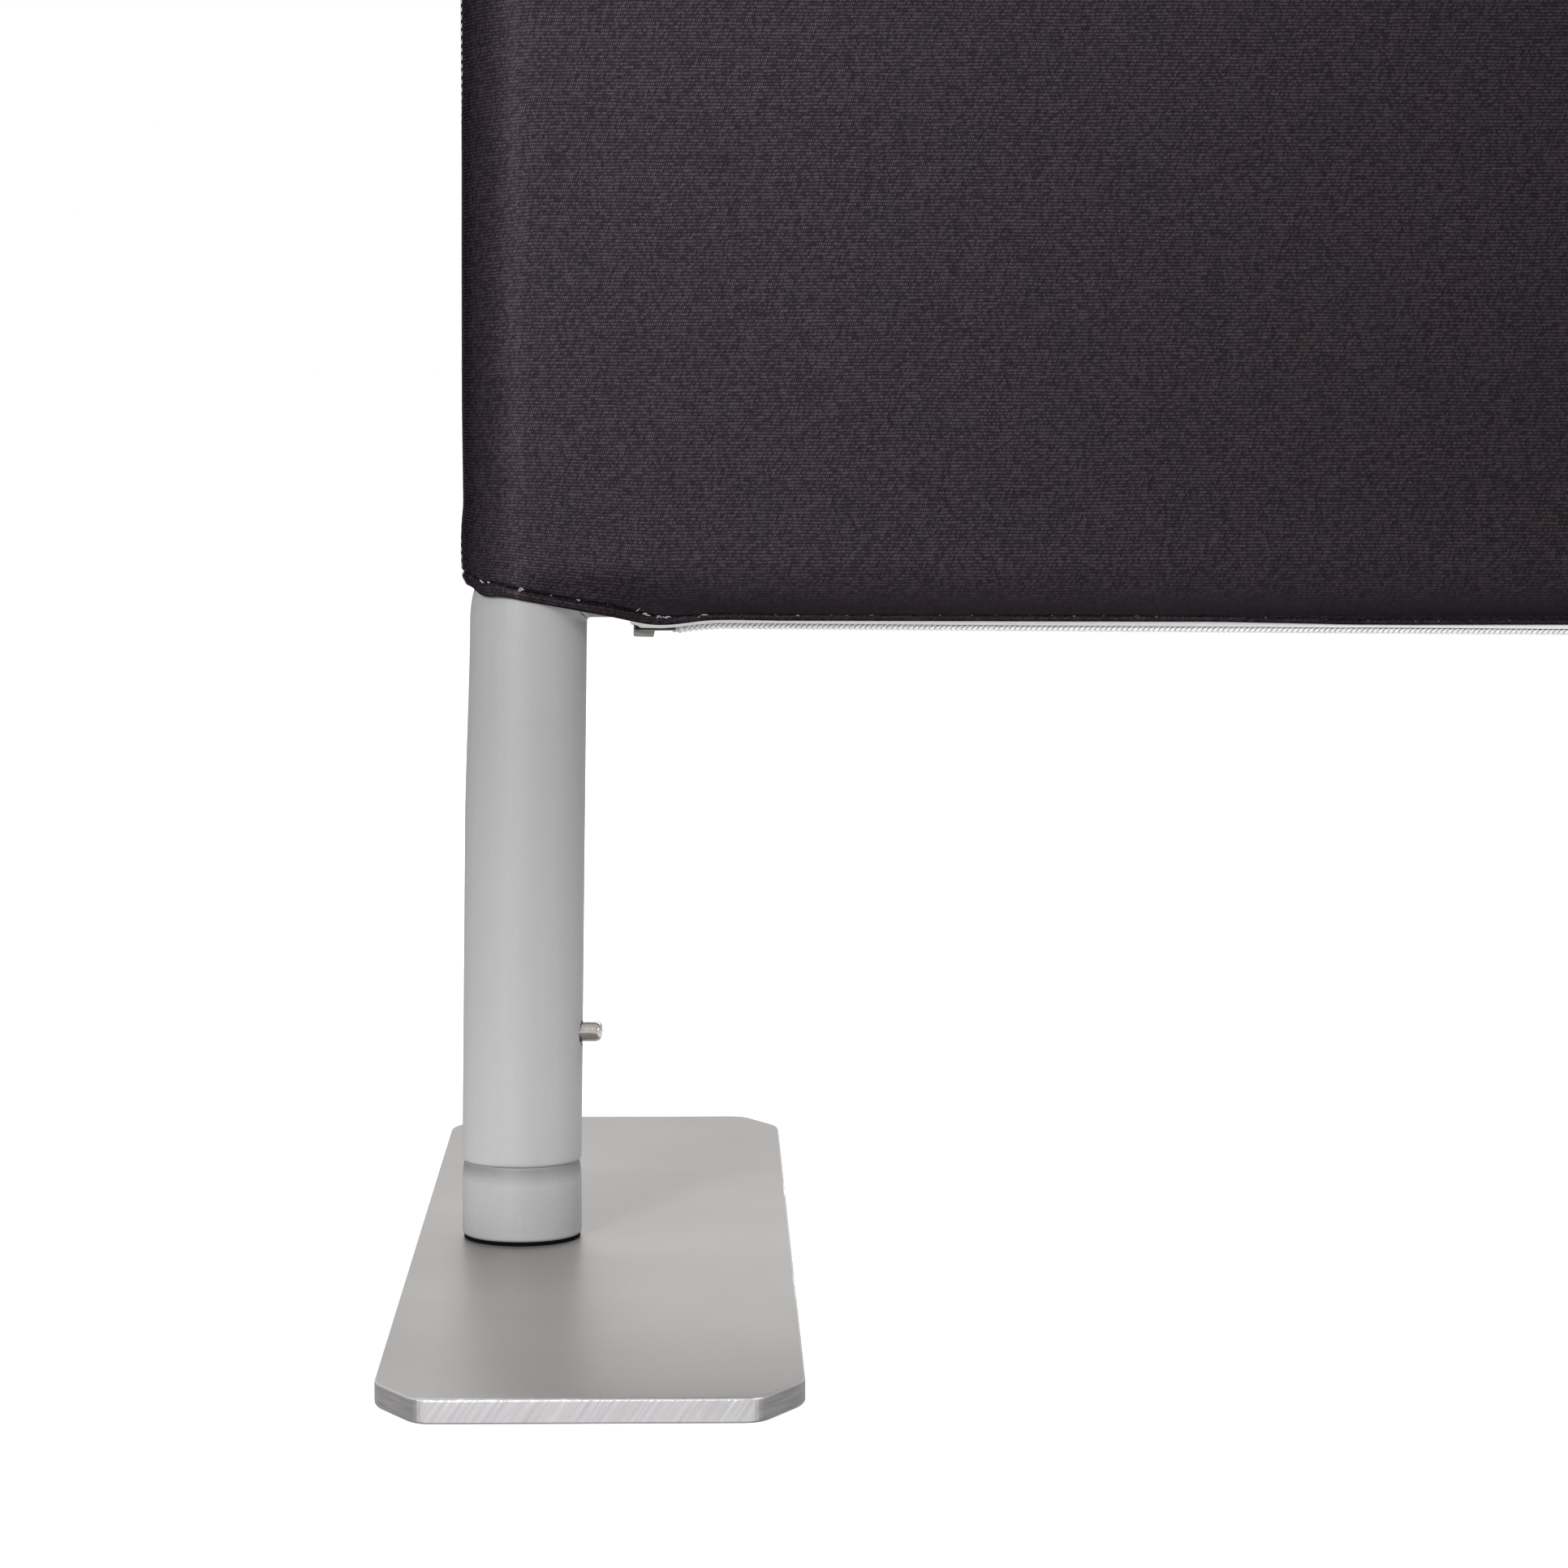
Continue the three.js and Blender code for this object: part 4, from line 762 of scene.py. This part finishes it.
def cover_shape(s, q, facing):
    """Points on the smooth cover, s along its width and q up from the hem, with their place on the knit."""
    away = np.abs(s)
    bend = HEM_TURN_RADIUS / np.maximum(1 - smooth(away, UPRIGHT_X - 50 * MM, UPRIGHT_X - 12 * MM), 1e-3)
    turned = bend * np.arcsin(np.clip((RAIL_Z - hem_height(s)) / bend, 0, 0.97))
    stretch = (COVER_TOP - RAIL_Z) / (COVER_HEIGHT - turned)
    height = RAIL_Z + (q - turned) * np.where(q > turned, stretch, 1)
    side = np.where(s < 0, -1, 1)
    corner = UPRIGHT_X - FOLD_RADIUS
    crown = TOP_Z - FOLD_RADIUS

    seam = facing * drawn_line(SEAM_LINE, height - RAIL_Z) / COVER_REACH
    reach_x = drawn_line(SIDE_LINE, height - RAIL_Z, 2 * MM)
    past = np.clip((away - UPRIGHT_X) / COVER_SIDE, 0, 1)
    turn = past * (QUARTER + seam - SEAM_GAP / COVER_REACH)
    x = np.where(away > UPRIGHT_X, UPRIGHT_X + reach_x * np.sin(turn), away)
    y = -COVER_REACH * np.cos(turn)

    a, b = away - corner, height - crown
    over = b > 0
    inside = over & (a > 0)
    longer, shorter = np.maximum(a, b), np.minimum(a, b)
    slope = np.clip(shorter / np.maximum(longer, 1e-9), 0, 1) * QUARTER / 2
    bearing = np.where(inside, np.where(a >= b, slope, QUARTER - slope), QUARTER)
    reach = np.where(inside, longer, b)
    wrap = np.clip((reach - FOLD_RADIUS) / COVER_SIDE, 0, 1) * (QUARTER - SEAM_GAP / COVER_REACH)
    out = np.minimum(reach, FOLD_RADIUS) + COVER_REACH * np.sin(wrap)
    x = np.where(over, np.where(inside, corner + out * np.cos(bearing), away), x)
    z = np.where(over, crown + out * np.sin(bearing), height)
    y = np.where(over, -COVER_REACH * np.cos(wrap), y)

    angle = np.clip(turned - q, 0, None) / bend
    y = y + bend * (1 - np.cos(angle))
    z = np.where(angle > 0, RAIL_Z - bend * np.sin(angle), z)

    lean = drawn_line(RIB_LEAN, height - RAIL_Z) / MM
    ribs = height + lean * np.clip(away - UPRIGHT_X + 3 * MM, 0, None)
    beyond = q - stitch_rise(s)
    follow = np.where(beyond < 0, 0.9, 0.5 * np.exp(-np.clip(beyond, 0, None) / (22 * MM)))
    ribs = ribs - follow * (hem_height(s) - HEM_LEVEL)
    return np.stack([side * x, -facing * y, z], -1), np.stack([s, ribs], -1)


def cover_relief(s, q):
    """How far the cloth stands out from its smooth shape, at the hem's band, its stitches and the seam."""
    band = stitch_rise(s)
    swell = HEM_SWELL * np.sin(math.pi * np.clip(q / band, 0, 1)) ** 0.7
    pull = 0.8 + 0.2 * np.sin(s * TURN / STITCH_PITCH) + 0.12 * np.sin(s * TURN / (7.1 * MM))
    sink = STITCH_SINK * pull * np.exp(-(((q - band) / (0.42 * MM)) ** 2))
    shoulder = 0.3 * HEM_SWELL * np.exp(-(((q - band - 1.3 * MM) / (0.8 * MM)) ** 2))
    edge = np.clip(1 - q / (0.6 * MM), 0, 1)
    curl = 0.5 * MM * (1 - np.sqrt(1 - edge * edge))
    to_seam = np.minimum(COVER_EDGE - np.abs(s), COVER_HEIGHT - q)
    valley = SEAM_SINK * np.exp(-((to_seam / (0.8 * MM)) ** 2))
    return swell - sink + shoulder - curl - valley


def on_cover(s, q, facing, raised=0.0):
    """Points on the cover's real outside, or raised above it, with their place on the knit."""
    nudge = 0.05 * MM
    base, ribs = cover_shape(s, q, facing)
    inward = np.where(s < 0, 1, -1)
    along = (cover_shape(s + inward * nudge, q, facing)[0] - base) * inward[..., None]
    up = cover_shape(s, q + nudge, facing)[0] - base
    normal = unit(np.cross(along, up) * -facing)
    return base + normal * (cover_relief(s, q) + raised)[..., None], ribs


def spread(*stops):
    """Places between the given ones, each stretch in even steps of about the size beside its start."""
    made = [stops[0][0]]
    for (start, step), (end, _) in zip(stops, stops[1:]):
        count = max(1, round((end - start) / step))
        made += [start + (end - start) * n / count for n in range(1, count + 1)]
    return np.array(made)


def cover_sheet(name, facing, replaced):
    """One half of the cover: facing is -1 for the front and 1 for the back."""
    edge, height = COVER_EDGE, COVER_HEIGHT
    half = [(0, 4 * MM), (450 * MM, 2 * MM), (UPRIGHT_X - 120 * MM, MM), (edge - 3 * MM, 0.4 * MM), (edge, 1)]
    half = spread(*half)
    rows = spread(
        (0, 0.15 * MM), (0.9 * MM, 0.3 * MM), (2.4 * MM, 0.2 * MM), (4.4 * MM, 0.6 * MM), (30 * MM, 3 * MM),
        (150 * MM, 10 * MM), (height - 60 * MM, 2 * MM), (height - 3 * MM, 0.4 * MM), (height, 1),
    )
    columns = np.concatenate([-half[:0:-1], half])
    s, q = np.meshgrid(columns, rows)
    points, ribs = on_cover(s, q, facing)
    faces = grid_faces(len(rows), len(columns))[:, ::-facing]
    points, ribs = points.reshape(-1, 3), ribs.reshape(-1, 2)
    made = piece(name, points, faces, KNIT_LOOK, "fabric", replaced=replaced, cloth_uv=ribs)
    thick = made.modifiers.new("thickness", "SOLIDIFY")
    thick.thickness, thick.offset = CLOTH, -1


def threads(name, paths, radius, material, slot="fabric"):
    """Short lengths of thread as one piece, thinned at their ends; paths holds as many points for each."""
    paths = np.asarray(paths)
    count, length = paths.shape[:2]
    along = unit(np.gradient(paths, axis=1))
    across = unit(np.cross(along, (0.3, -0.9, 0.32)))
    up = np.cross(along, across)
    size = radius * np.sqrt(np.clip(1 - np.linspace(-1, 1, length) ** 4, 0.12, 1))
    turn = (np.arange(THREAD_SIDES) * TURN / THREAD_SIDES)[:, None]
    rings = np.cos(turn) * across[:, :, None] + np.sin(turn) * up[:, :, None]
    points = paths[:, :, None] + size[:, None, None] * rings
    whole, starts = capped(length, THREAD_SIDES), np.arange(count) * length * THREAD_SIDES
    faces = [tuple(corner + start for corner in face) for start in starts for face in whole]
    return piece(name, points.reshape(-1, 3), faces, material, slot)


def hem_stitches(facing):
    """The lockstitch along the hem, sunk in its groove."""
    chance = np.random.default_rng(11 + facing)
    edge = COVER_EDGE - 2 * MM
    starts = np.arange(-edge, edge, STITCH_PITCH)[:, None]
    starts = starts + chance.uniform(-0.1, 0.1, starts.shape) * MM
    length = STITCH_PITCH * chance.uniform(0.72, 0.84, starts.shape)
    step = np.linspace(0, 1, 7)
    along = starts + length * step
    up = stitch_rise(along) + chance.uniform(-0.1, 0.1, starts.shape) * MM + np.linspace(-0.16, 0.16, 7) * MM
    return on_cover(along, up, facing, 0.12 * MM * np.sin(math.pi * step) - 0.02 * MM)[0]


def hem_flecks(facing):
    """White bobbin thread that shows here and there at the hem's stitches."""
    chance = np.random.default_rng(5 + facing)
    named = np.array(FLECKS)
    first = -UPRIGHT_X + named[-1, 0] * MM
    more = first + np.cumsum(chance.uniform(3.5, 9, 400)) * MM
    more = more[more < COVER_EDGE - 2 * MM]
    places = np.concatenate([-UPRIGHT_X + named[:, 0] * MM, more])
    sizes = np.concatenate([named[:, 1], chance.uniform(0.3, 0.7, len(more))])
    step = np.linspace(-1, 1, 7)
    paths = []
    for least in (0, 0.5, 0.75, 1.0, 1.25):
        keep = sizes > least
        size = sizes[keep][:, None] * MM * chance.uniform(0.6, 1.2, (keep.sum(), 1))
        shift, slant, curl = chance.uniform(-0.5, 0.5, (3, keep.sum(), 1))
        along = places[keep][:, None] + shift * size + size / 2 * step
        rise = slant * step * 0.7 + shift * 0.3 + curl * (1 - step * step) * 0.5
        up = stitch_rise(along) + 0.1 * MM + size * rise
        paths.append(on_cover(along, up, facing, (0.1 + 0.15 * least) * MM)[0])
    return np.concatenate(paths)


def loose_ends():
    """A thread end that hangs from the hem and one that sticks out of its stitches."""
    t = np.linspace(0, 1, 7)
    hanging = on_cover(-UPRIGHT_X + (14.1 + 1.9 * t) * MM, 0.3 * MM + 0 * t, -1, 0.1 * MM)[0]
    hanging[:, 2] += (0.2 - 1.2 * t - 0.35 * np.sin(math.pi * t)) * MM
    along = -UPRIGHT_X + (29.2 + 0.9 * t) * MM
    standing = on_cover(along, stitch_rise(along) + (0.3 + 1.2 * t) * MM, -1, 0.25 * MM)[0]
    return hanging, standing


def seam_stitches():
    """White ladder stitches over the seams between the two halves, up both sides and along the top."""
    chance = np.random.default_rng(3)
    step = np.linspace(0, 1, 5)
    paths = []
    for facing in (-1, 1):
        for side in (-1, 1):
            starts = np.arange(0.8 * MM, COVER_HEIGHT - FOLD_RADIUS - COVER_SIDE, SEAM_PITCH)[:, None]
            up = starts + chance.uniform(0.9, 1.35, starts.shape) * MM * step
            off = COVER_EDGE - chance.uniform(0.45, 0.75, starts.shape) * MM
            paths.append(on_cover(side * off + 0 * up, up, facing, 0.1 * MM)[0])
            rung = starts + chance.uniform(0, 0.3, starts.shape) * MM
            across = side * (COVER_EDGE - 1.5 * MM + 1.4 * MM * step)
            paths.append(on_cover(across + 0 * rung, rung + 0 * step, facing, 0.06 * MM)[0])
        starts = np.arange(FOLD_RADIUS - UPRIGHT_X, UPRIGHT_X - FOLD_RADIUS, SEAM_PITCH)[:, None]
        along = starts + 1.2 * MM * step
        paths.append(on_cover(along, COVER_HEIGHT - 0.6 * MM + 0 * along, facing, 0.1 * MM)[0])
    return np.concatenate(paths)


# Zip

def zip_level(x):
    """Height of the tape by the coil, low where the slider rests and level with its channel at the far end."""
    near, far = (drawn_line(stops, UPRIGHT_X - np.abs(x), 0.5 * MM) for stops in (NEAR_DROP, FAR_DROP))
    return TAPE_Z - np.where(x < 0, near, far)


def zip_tape(name, facing, replaced):
    """A woven tape: level beside the coil, then turned up and sewn inside the hem."""
    half = TAPE_HIGH.x
    xs = spread((-half, 0.5 * MM), (-half + 30 * MM, 2 * MM), (half - 30 * MM, 0.5 * MM), (half, 1))
    behind = -CLOTH - TAPE_THICKNESS
    flat = ((0.6, 0), (2.4, 0), (4, 0.02))
    inner = [np.stack([xs, facing * y * MM + 0 * xs, zip_level(xs) + rise * MM], -1) for y, rise in flat]
    sewn = [on_cover(xs, q * MM + 0 * xs, facing, behind)[0] for q in (0.7, 2.2, 3.6)]
    near, far = inner[-1], sewn[0]
    sag = np.array([0, 0, 0.45 * MM])
    slope = [near + (far - near) * t - sag * math.sin(math.pi * t) for t in (0.25, 0.5, 0.75)]
    rows = inner + slope + sewn
    faces = grid_faces(len(rows), len(xs))[:, ::facing]
    made = piece(name, np.concatenate(rows), faces, TAPE_LOOK, "tape", replaced=replaced)
    thick = made.modifiers.new("thickness", "SOLIDIFY")
    thick.thickness, thick.offset = TAPE_THICKNESS, 0


def coil(name, facing):
    """Half of the zip coil: one long helix of nylon monofilament, pressed flat so that its turns touch."""
    start, end = SLIDER_HIGH.x - 0.4 * MM, TAPE_HIGH.x - 1.5 * MM
    count = round((end - start) / COIL_PITCH) * COIL_ROUNDS
    t = np.arange(count) * TURN / COIL_ROUNDS
    x = start + t / TURN * COIL_PITCH
    y = facing * (COIL_OFF + COIL_HALF_WIDTH * np.cos(t))
    z = zip_level(x) - COIL_DROP + COIL_HALF_HEIGHT * np.sin(t)
    out = unit(np.stack([0 * t, facing * np.cos(t) * 0.75, np.sin(t)], 1))
    turn = (np.arange(THREAD_SIDES) * TURN / THREAD_SIDES)[:, None]
    wide, thin = COIL_WIRE
    wire = wide * np.cos(turn) * np.array([1, 0, 0]) + thin * np.sin(turn) * out[:, None]
    points = np.stack([x, y, z], 1)[:, None] + wire
    faces = [f[::facing] for f in capped(count, THREAD_SIDES)]
    piece(name, points.reshape(-1, 3), faces, COIL_LOOK, "tape")


def coil_core(name, facing):
    """The filler cord inside the coil."""
    xs = spread((SLIDER_HIGH.x + 0.5 * MM, 2 * MM), (TAPE_HIGH.x - 2 * MM, 2))
    path = np.stack([xs, facing * COIL_OFF + 0 * xs, zip_level(xs) - COIL_DROP], -1)
    threads(name, [path], 0.5 * MM, COIL_LOOK, slot="tape")


def coil_stitches(facing):
    """Slanted stitches that hold the coil to its tape, one for each turn."""
    step = np.linspace(-1, 1, 5)
    along = np.arange(SLIDER_HIGH.x + 3 * MM, TAPE_HIGH.x - 2 * MM, COIL_PITCH)[:, None] + 0.42 * MM * step
    y = facing * (3.35 + 0.15 * step) * MM + 0 * along
    z = zip_level(along) - TAPE_THICKNESS / 2 + 0.28 * MM * step - 0.35 * MM
    return np.stack([along, y, z], -1)


def zip_slider():
    """The slider: a lower plate with rolled flanges, its upper plate inside the tapes, and the crown below,
    with its neck and a thin sheet over the lower plate in near-black painted shade.
    """
    left, right = SLIDER_LOW.x + SLIDER_SHIFT, SLIDER_HIGH.x + SLIDER_SHIFT / 2
    half, base = SLIDER_HIGH.y, SLIDER_LOW.z
    low = base + 1.85 * MM
    middle = left + (right - left) * 0.38
    edge = [(left, 0.45), (left + 1.2 * MM, 0.85), (middle, 1), (right, 0.88)]
    shield = eased([(x, -y * half) for x, y in edge] + [(x, y * half) for x, y in edge[::-1]], 1.4 * MM)
    lower = slab(shield, low, low + 0.22 * MM, 0.08 * MM, 0.06 * MM, 3)
    # Painted shade: a near-black sheet on the lower plate darkens the gap between the plates.
    shade = slab(inset(shield, 0.15 * MM), low + 0.2 * MM, low + 0.55 * MM, 0, 0, 1)
    upper = slab(inset(shield, 0.3 * MM), low + 2.72 * MM, low + 3.04 * MM, 0.1 * MM, 0.1 * MM, 3)

    def outline(plan, x, z, tangent):
        return eased(np.array(plan) * MM + np.array([x, z]), tangent * MM)

    neck = outline([(0.75, -0.3), (4, -0.2), (4, 0.2), (0.75, 0.3)], left, 0, 0.1)
    neck = slab(neck, low + 0.2 * MM, low + 2.75 * MM, 0, 0, 1)
    lip = outline([(-1.1, -0.32), (-0.25, -0.42), (0.05, -0.1), (-0.15, 0.3), (-1.1, 0.2)], right, low, 0.25)
    lip = lying(slab(lip, -0.8 * half, 0.8 * half, 0.15 * MM, 0.15 * MM))
    arch = outline([(0, 0.4), (0.3, 0.1), (5.35, -0.02), (5.7, 1.9), (0, 1.9)], left, base, 0.2)
    post = outline([(0, 1.7), (0.85, 1.7), (0.7, 3.2), (0, 3.2)], left, base, 0.2)
    crown = [
        lying(slab(side, -wide * MM, wide * MM, ease * MM, ease * MM, 3))
        for side, wide, ease in ((arch, 1.1, 0.22), (post, 0.3, 0.1))
    ]
    piece("slider_plates", *joined(lower, upper, lip), SATIN_LOOK, "slider", "zip_slider", ["zip_slider"])
    piece("slider_crown", *joined(*crown), SLIDER_LOOK, "slider", "zip_slider")
    # The neck is a real part of the slider. It and the sheet get near-black painted shade for the dark inside.
    piece("slider_painted_shade", *joined(shade, neck), PAINTED_SHADE_LOOK, "slider", "zip_slider")


def zip_stop(side):
    """Thread wound across the end of the tapes, where the coil stops."""
    step = np.linspace(-1, 1, 7)
    paths = []
    for turn in range(4):
        x = -SIGNS[side] * (TAPE_HIGH.x - (0.25 + 0.2 * turn) * MM)
        z = float(zip_level(np.array(x))) - TAPE_THICKNESS / 2 - 0.16 * MM - 0.1 * MM * (1 - step * step)
        paths.append(np.stack([x + 0 * step, 1.7 * MM * step, z], -1))
    made = threads(f"sewn_stop_{side}", paths, STOP_THREAD_RADIUS, FLECK_LOOK, slot="tape")
    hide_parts(f"zip_stop_{side}")


# Parts that keep their CAD mesh

def dress(obj, look):
    obj.data.materials.clear()
    obj.data.materials.append(look)


def snap_spring(name, side):
    """The spring behind a snap button, as a copy of its CAD mesh with the spring's finish, in place of the CAD
    node.
    """
    node, button = f"{name}_spring_{side}", f"{name}_button_{side}"
    low, high = (np.array(corner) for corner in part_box(node))
    pull = sum(np.array(corner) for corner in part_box(button)) / 2 - (low + high) / 2
    front, arm = (0, 2) if name in ("foot", "upright") else (2, 0)
    across, along = np.zeros(3), np.zeros(3)
    across[front], along[arm] = np.sign(pull[front]), np.sign(pull[arm])
    made = placed(f"snap_leaf_{name}_{side}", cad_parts[node].data.copy())
    dress(made, SPRING_LOOK)
    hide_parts(node)
    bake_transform(made)


def hidden_parts():
    """What the cover or the tubes hide keeps its CAD mesh and gets the real finish."""
    looks = {"screw": SCREW_LOOK, "stub": TUBE_LOOK, "button": NICKEL_LOOK}
    looks.update(sleeve=SLEEVE_LOOK, rivet=SLEEVE_LOOK)
    for node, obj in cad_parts.items():
        for word, look in looks.items():
            if word in node and not obj.hide_render:
                dress(obj, look)


# Stage

def lamp(name, place, aim, power, width, height=None):
    """A round lamp or, with a height, a rectangular one."""
    data = bpy.data.lights.new(name, "AREA")
    data.size, data.energy = width, power
    data.shape = "RECTANGLE" if height else "DISK"
    if height:
        data.size_y = height
    made = placed(name, data)
    made.location = place
    made.rotation_euler = (Vector(aim) - Vector(place)).to_track_quat("-Z", "Y").to_euler()
    made.visible_camera = False


def stage():
    """White surroundings and floor, both brighter to look at than in the light they give, and three lamps."""
    world = bpy.data.worlds.new("studio")
    bpy.context.scene.world = world
    world.use_nodes = True
    nodes, backdrop = Nodes(world.node_tree), world.node_tree.nodes["Background"].inputs
    backdrop["Color"].default_value = (1, 1, 1, 1)
    nodes.put(nodes.fit(nodes.shown(), 0, 1, WORLD_LEVEL, 1), backdrop["Strength"])

    corners = [(x * FLOOR_REACH, y * FLOOR_REACH, 0) for x, y in ((-1, -1), (1, -1), (1, 1), (-1, 1))]
    floor = placed("floor", new_mesh("floor", corners, [range(4)]))
    look = Look("floor_paper", roughness=0.9, base_color=(0.85, 0.85, 0.85, 1), emission_color=(1, 1, 1, 1))
    look.bump(look.noise(400, 2), 0.00002)
    look.put(look.times(look.shown(), FLOOR_LIFT), look.shader["Emission Strength"])
    floor.data.materials.append(look.material)

    for name, sign, power in (("key", -1, KEY_POWER), ("fill", 1, FILL_POWER)):
        lamp(name, (sign * KEY_PLACE[0], *KEY_PLACE[1:]), (sign * UPRIGHT_X, 0, KEY_AIM_Z), power, KEY_SIZE)
    lamp("back", BACK_PLACE, BACK_AIM, BACK_POWER, *BACK_SIZE)


def camera():
    data = bpy.data.cameras.new("camera")
    data.lens = CAMERA_LENS
    made = placed("camera", data)
    made.location = CAMERA_PLACE
    made.rotation_euler = (QUARTER - CAMERA_PITCH, 0, -CAMERA_YAW)
    bpy.context.scene.camera = made


for side in SIGNS:
    lower_corner(side)
    path = folded_path(-UPRIGHT_X, UPRIGHT_LOW.z, TOP_Z)
    folded_tube(f"upright_and_arm_{side}", path, side, [f"upper_corner_{side}"])
    foot(side)
rail("bottom_middle_rail", RAIL_Z, RAIL_HIGH.x, ["bottom_rail"])
rail("top_middle_rail", TOP_Z, TOP_HIGH.x, ["top_rail"])
seam_thread = threads("seam_stitches", seam_stitches(), SEAM_THREAD_RADIUS, FLECK_LOOK)
for half, facing in HALVES:
    sewn = [
        threads(f"hem_stitches_{half}", hem_stitches(facing), HEM_THREAD_RADIUS, THREAD_LOOK),
        threads(f"hem_flecks_{half}", hem_flecks(facing), FLECK_THREAD_RADIUS, FLECK_LOOK),
    ]
    if half == "front":
        hanging, standing = loose_ends()
        sewn += [
            seam_thread,
            threads("hanging_thread_end", [hanging], 0.07 * MM, THREAD_LOOK),
            threads("standing_thread_end", [standing], 0.08 * MM, FLECK_LOOK),
        ]
    cover_sheet(f"cover_{half}", facing, [f"{half}_panel"])
    zip_tape(f"tape_{half}", facing, [f"zip_tape_{half}"])
    coil(f"coil_{half}", facing)
    coil_core(f"coil_core_{half}", facing)
    threads(f"coil_stitches_{half}", coil_stitches(facing), COIL_THREAD_RADIUS, COIL_LOOK, slot="tape")
zip_slider()
for side in SIGNS:
    zip_stop(side)
    for lock in ("foot", "upright", "bottom", "top"):
        snap_spring(lock, side)
hidden_parts()
stage()
camera()
bpy.context.scene.view_settings.view_transform = "Standard"
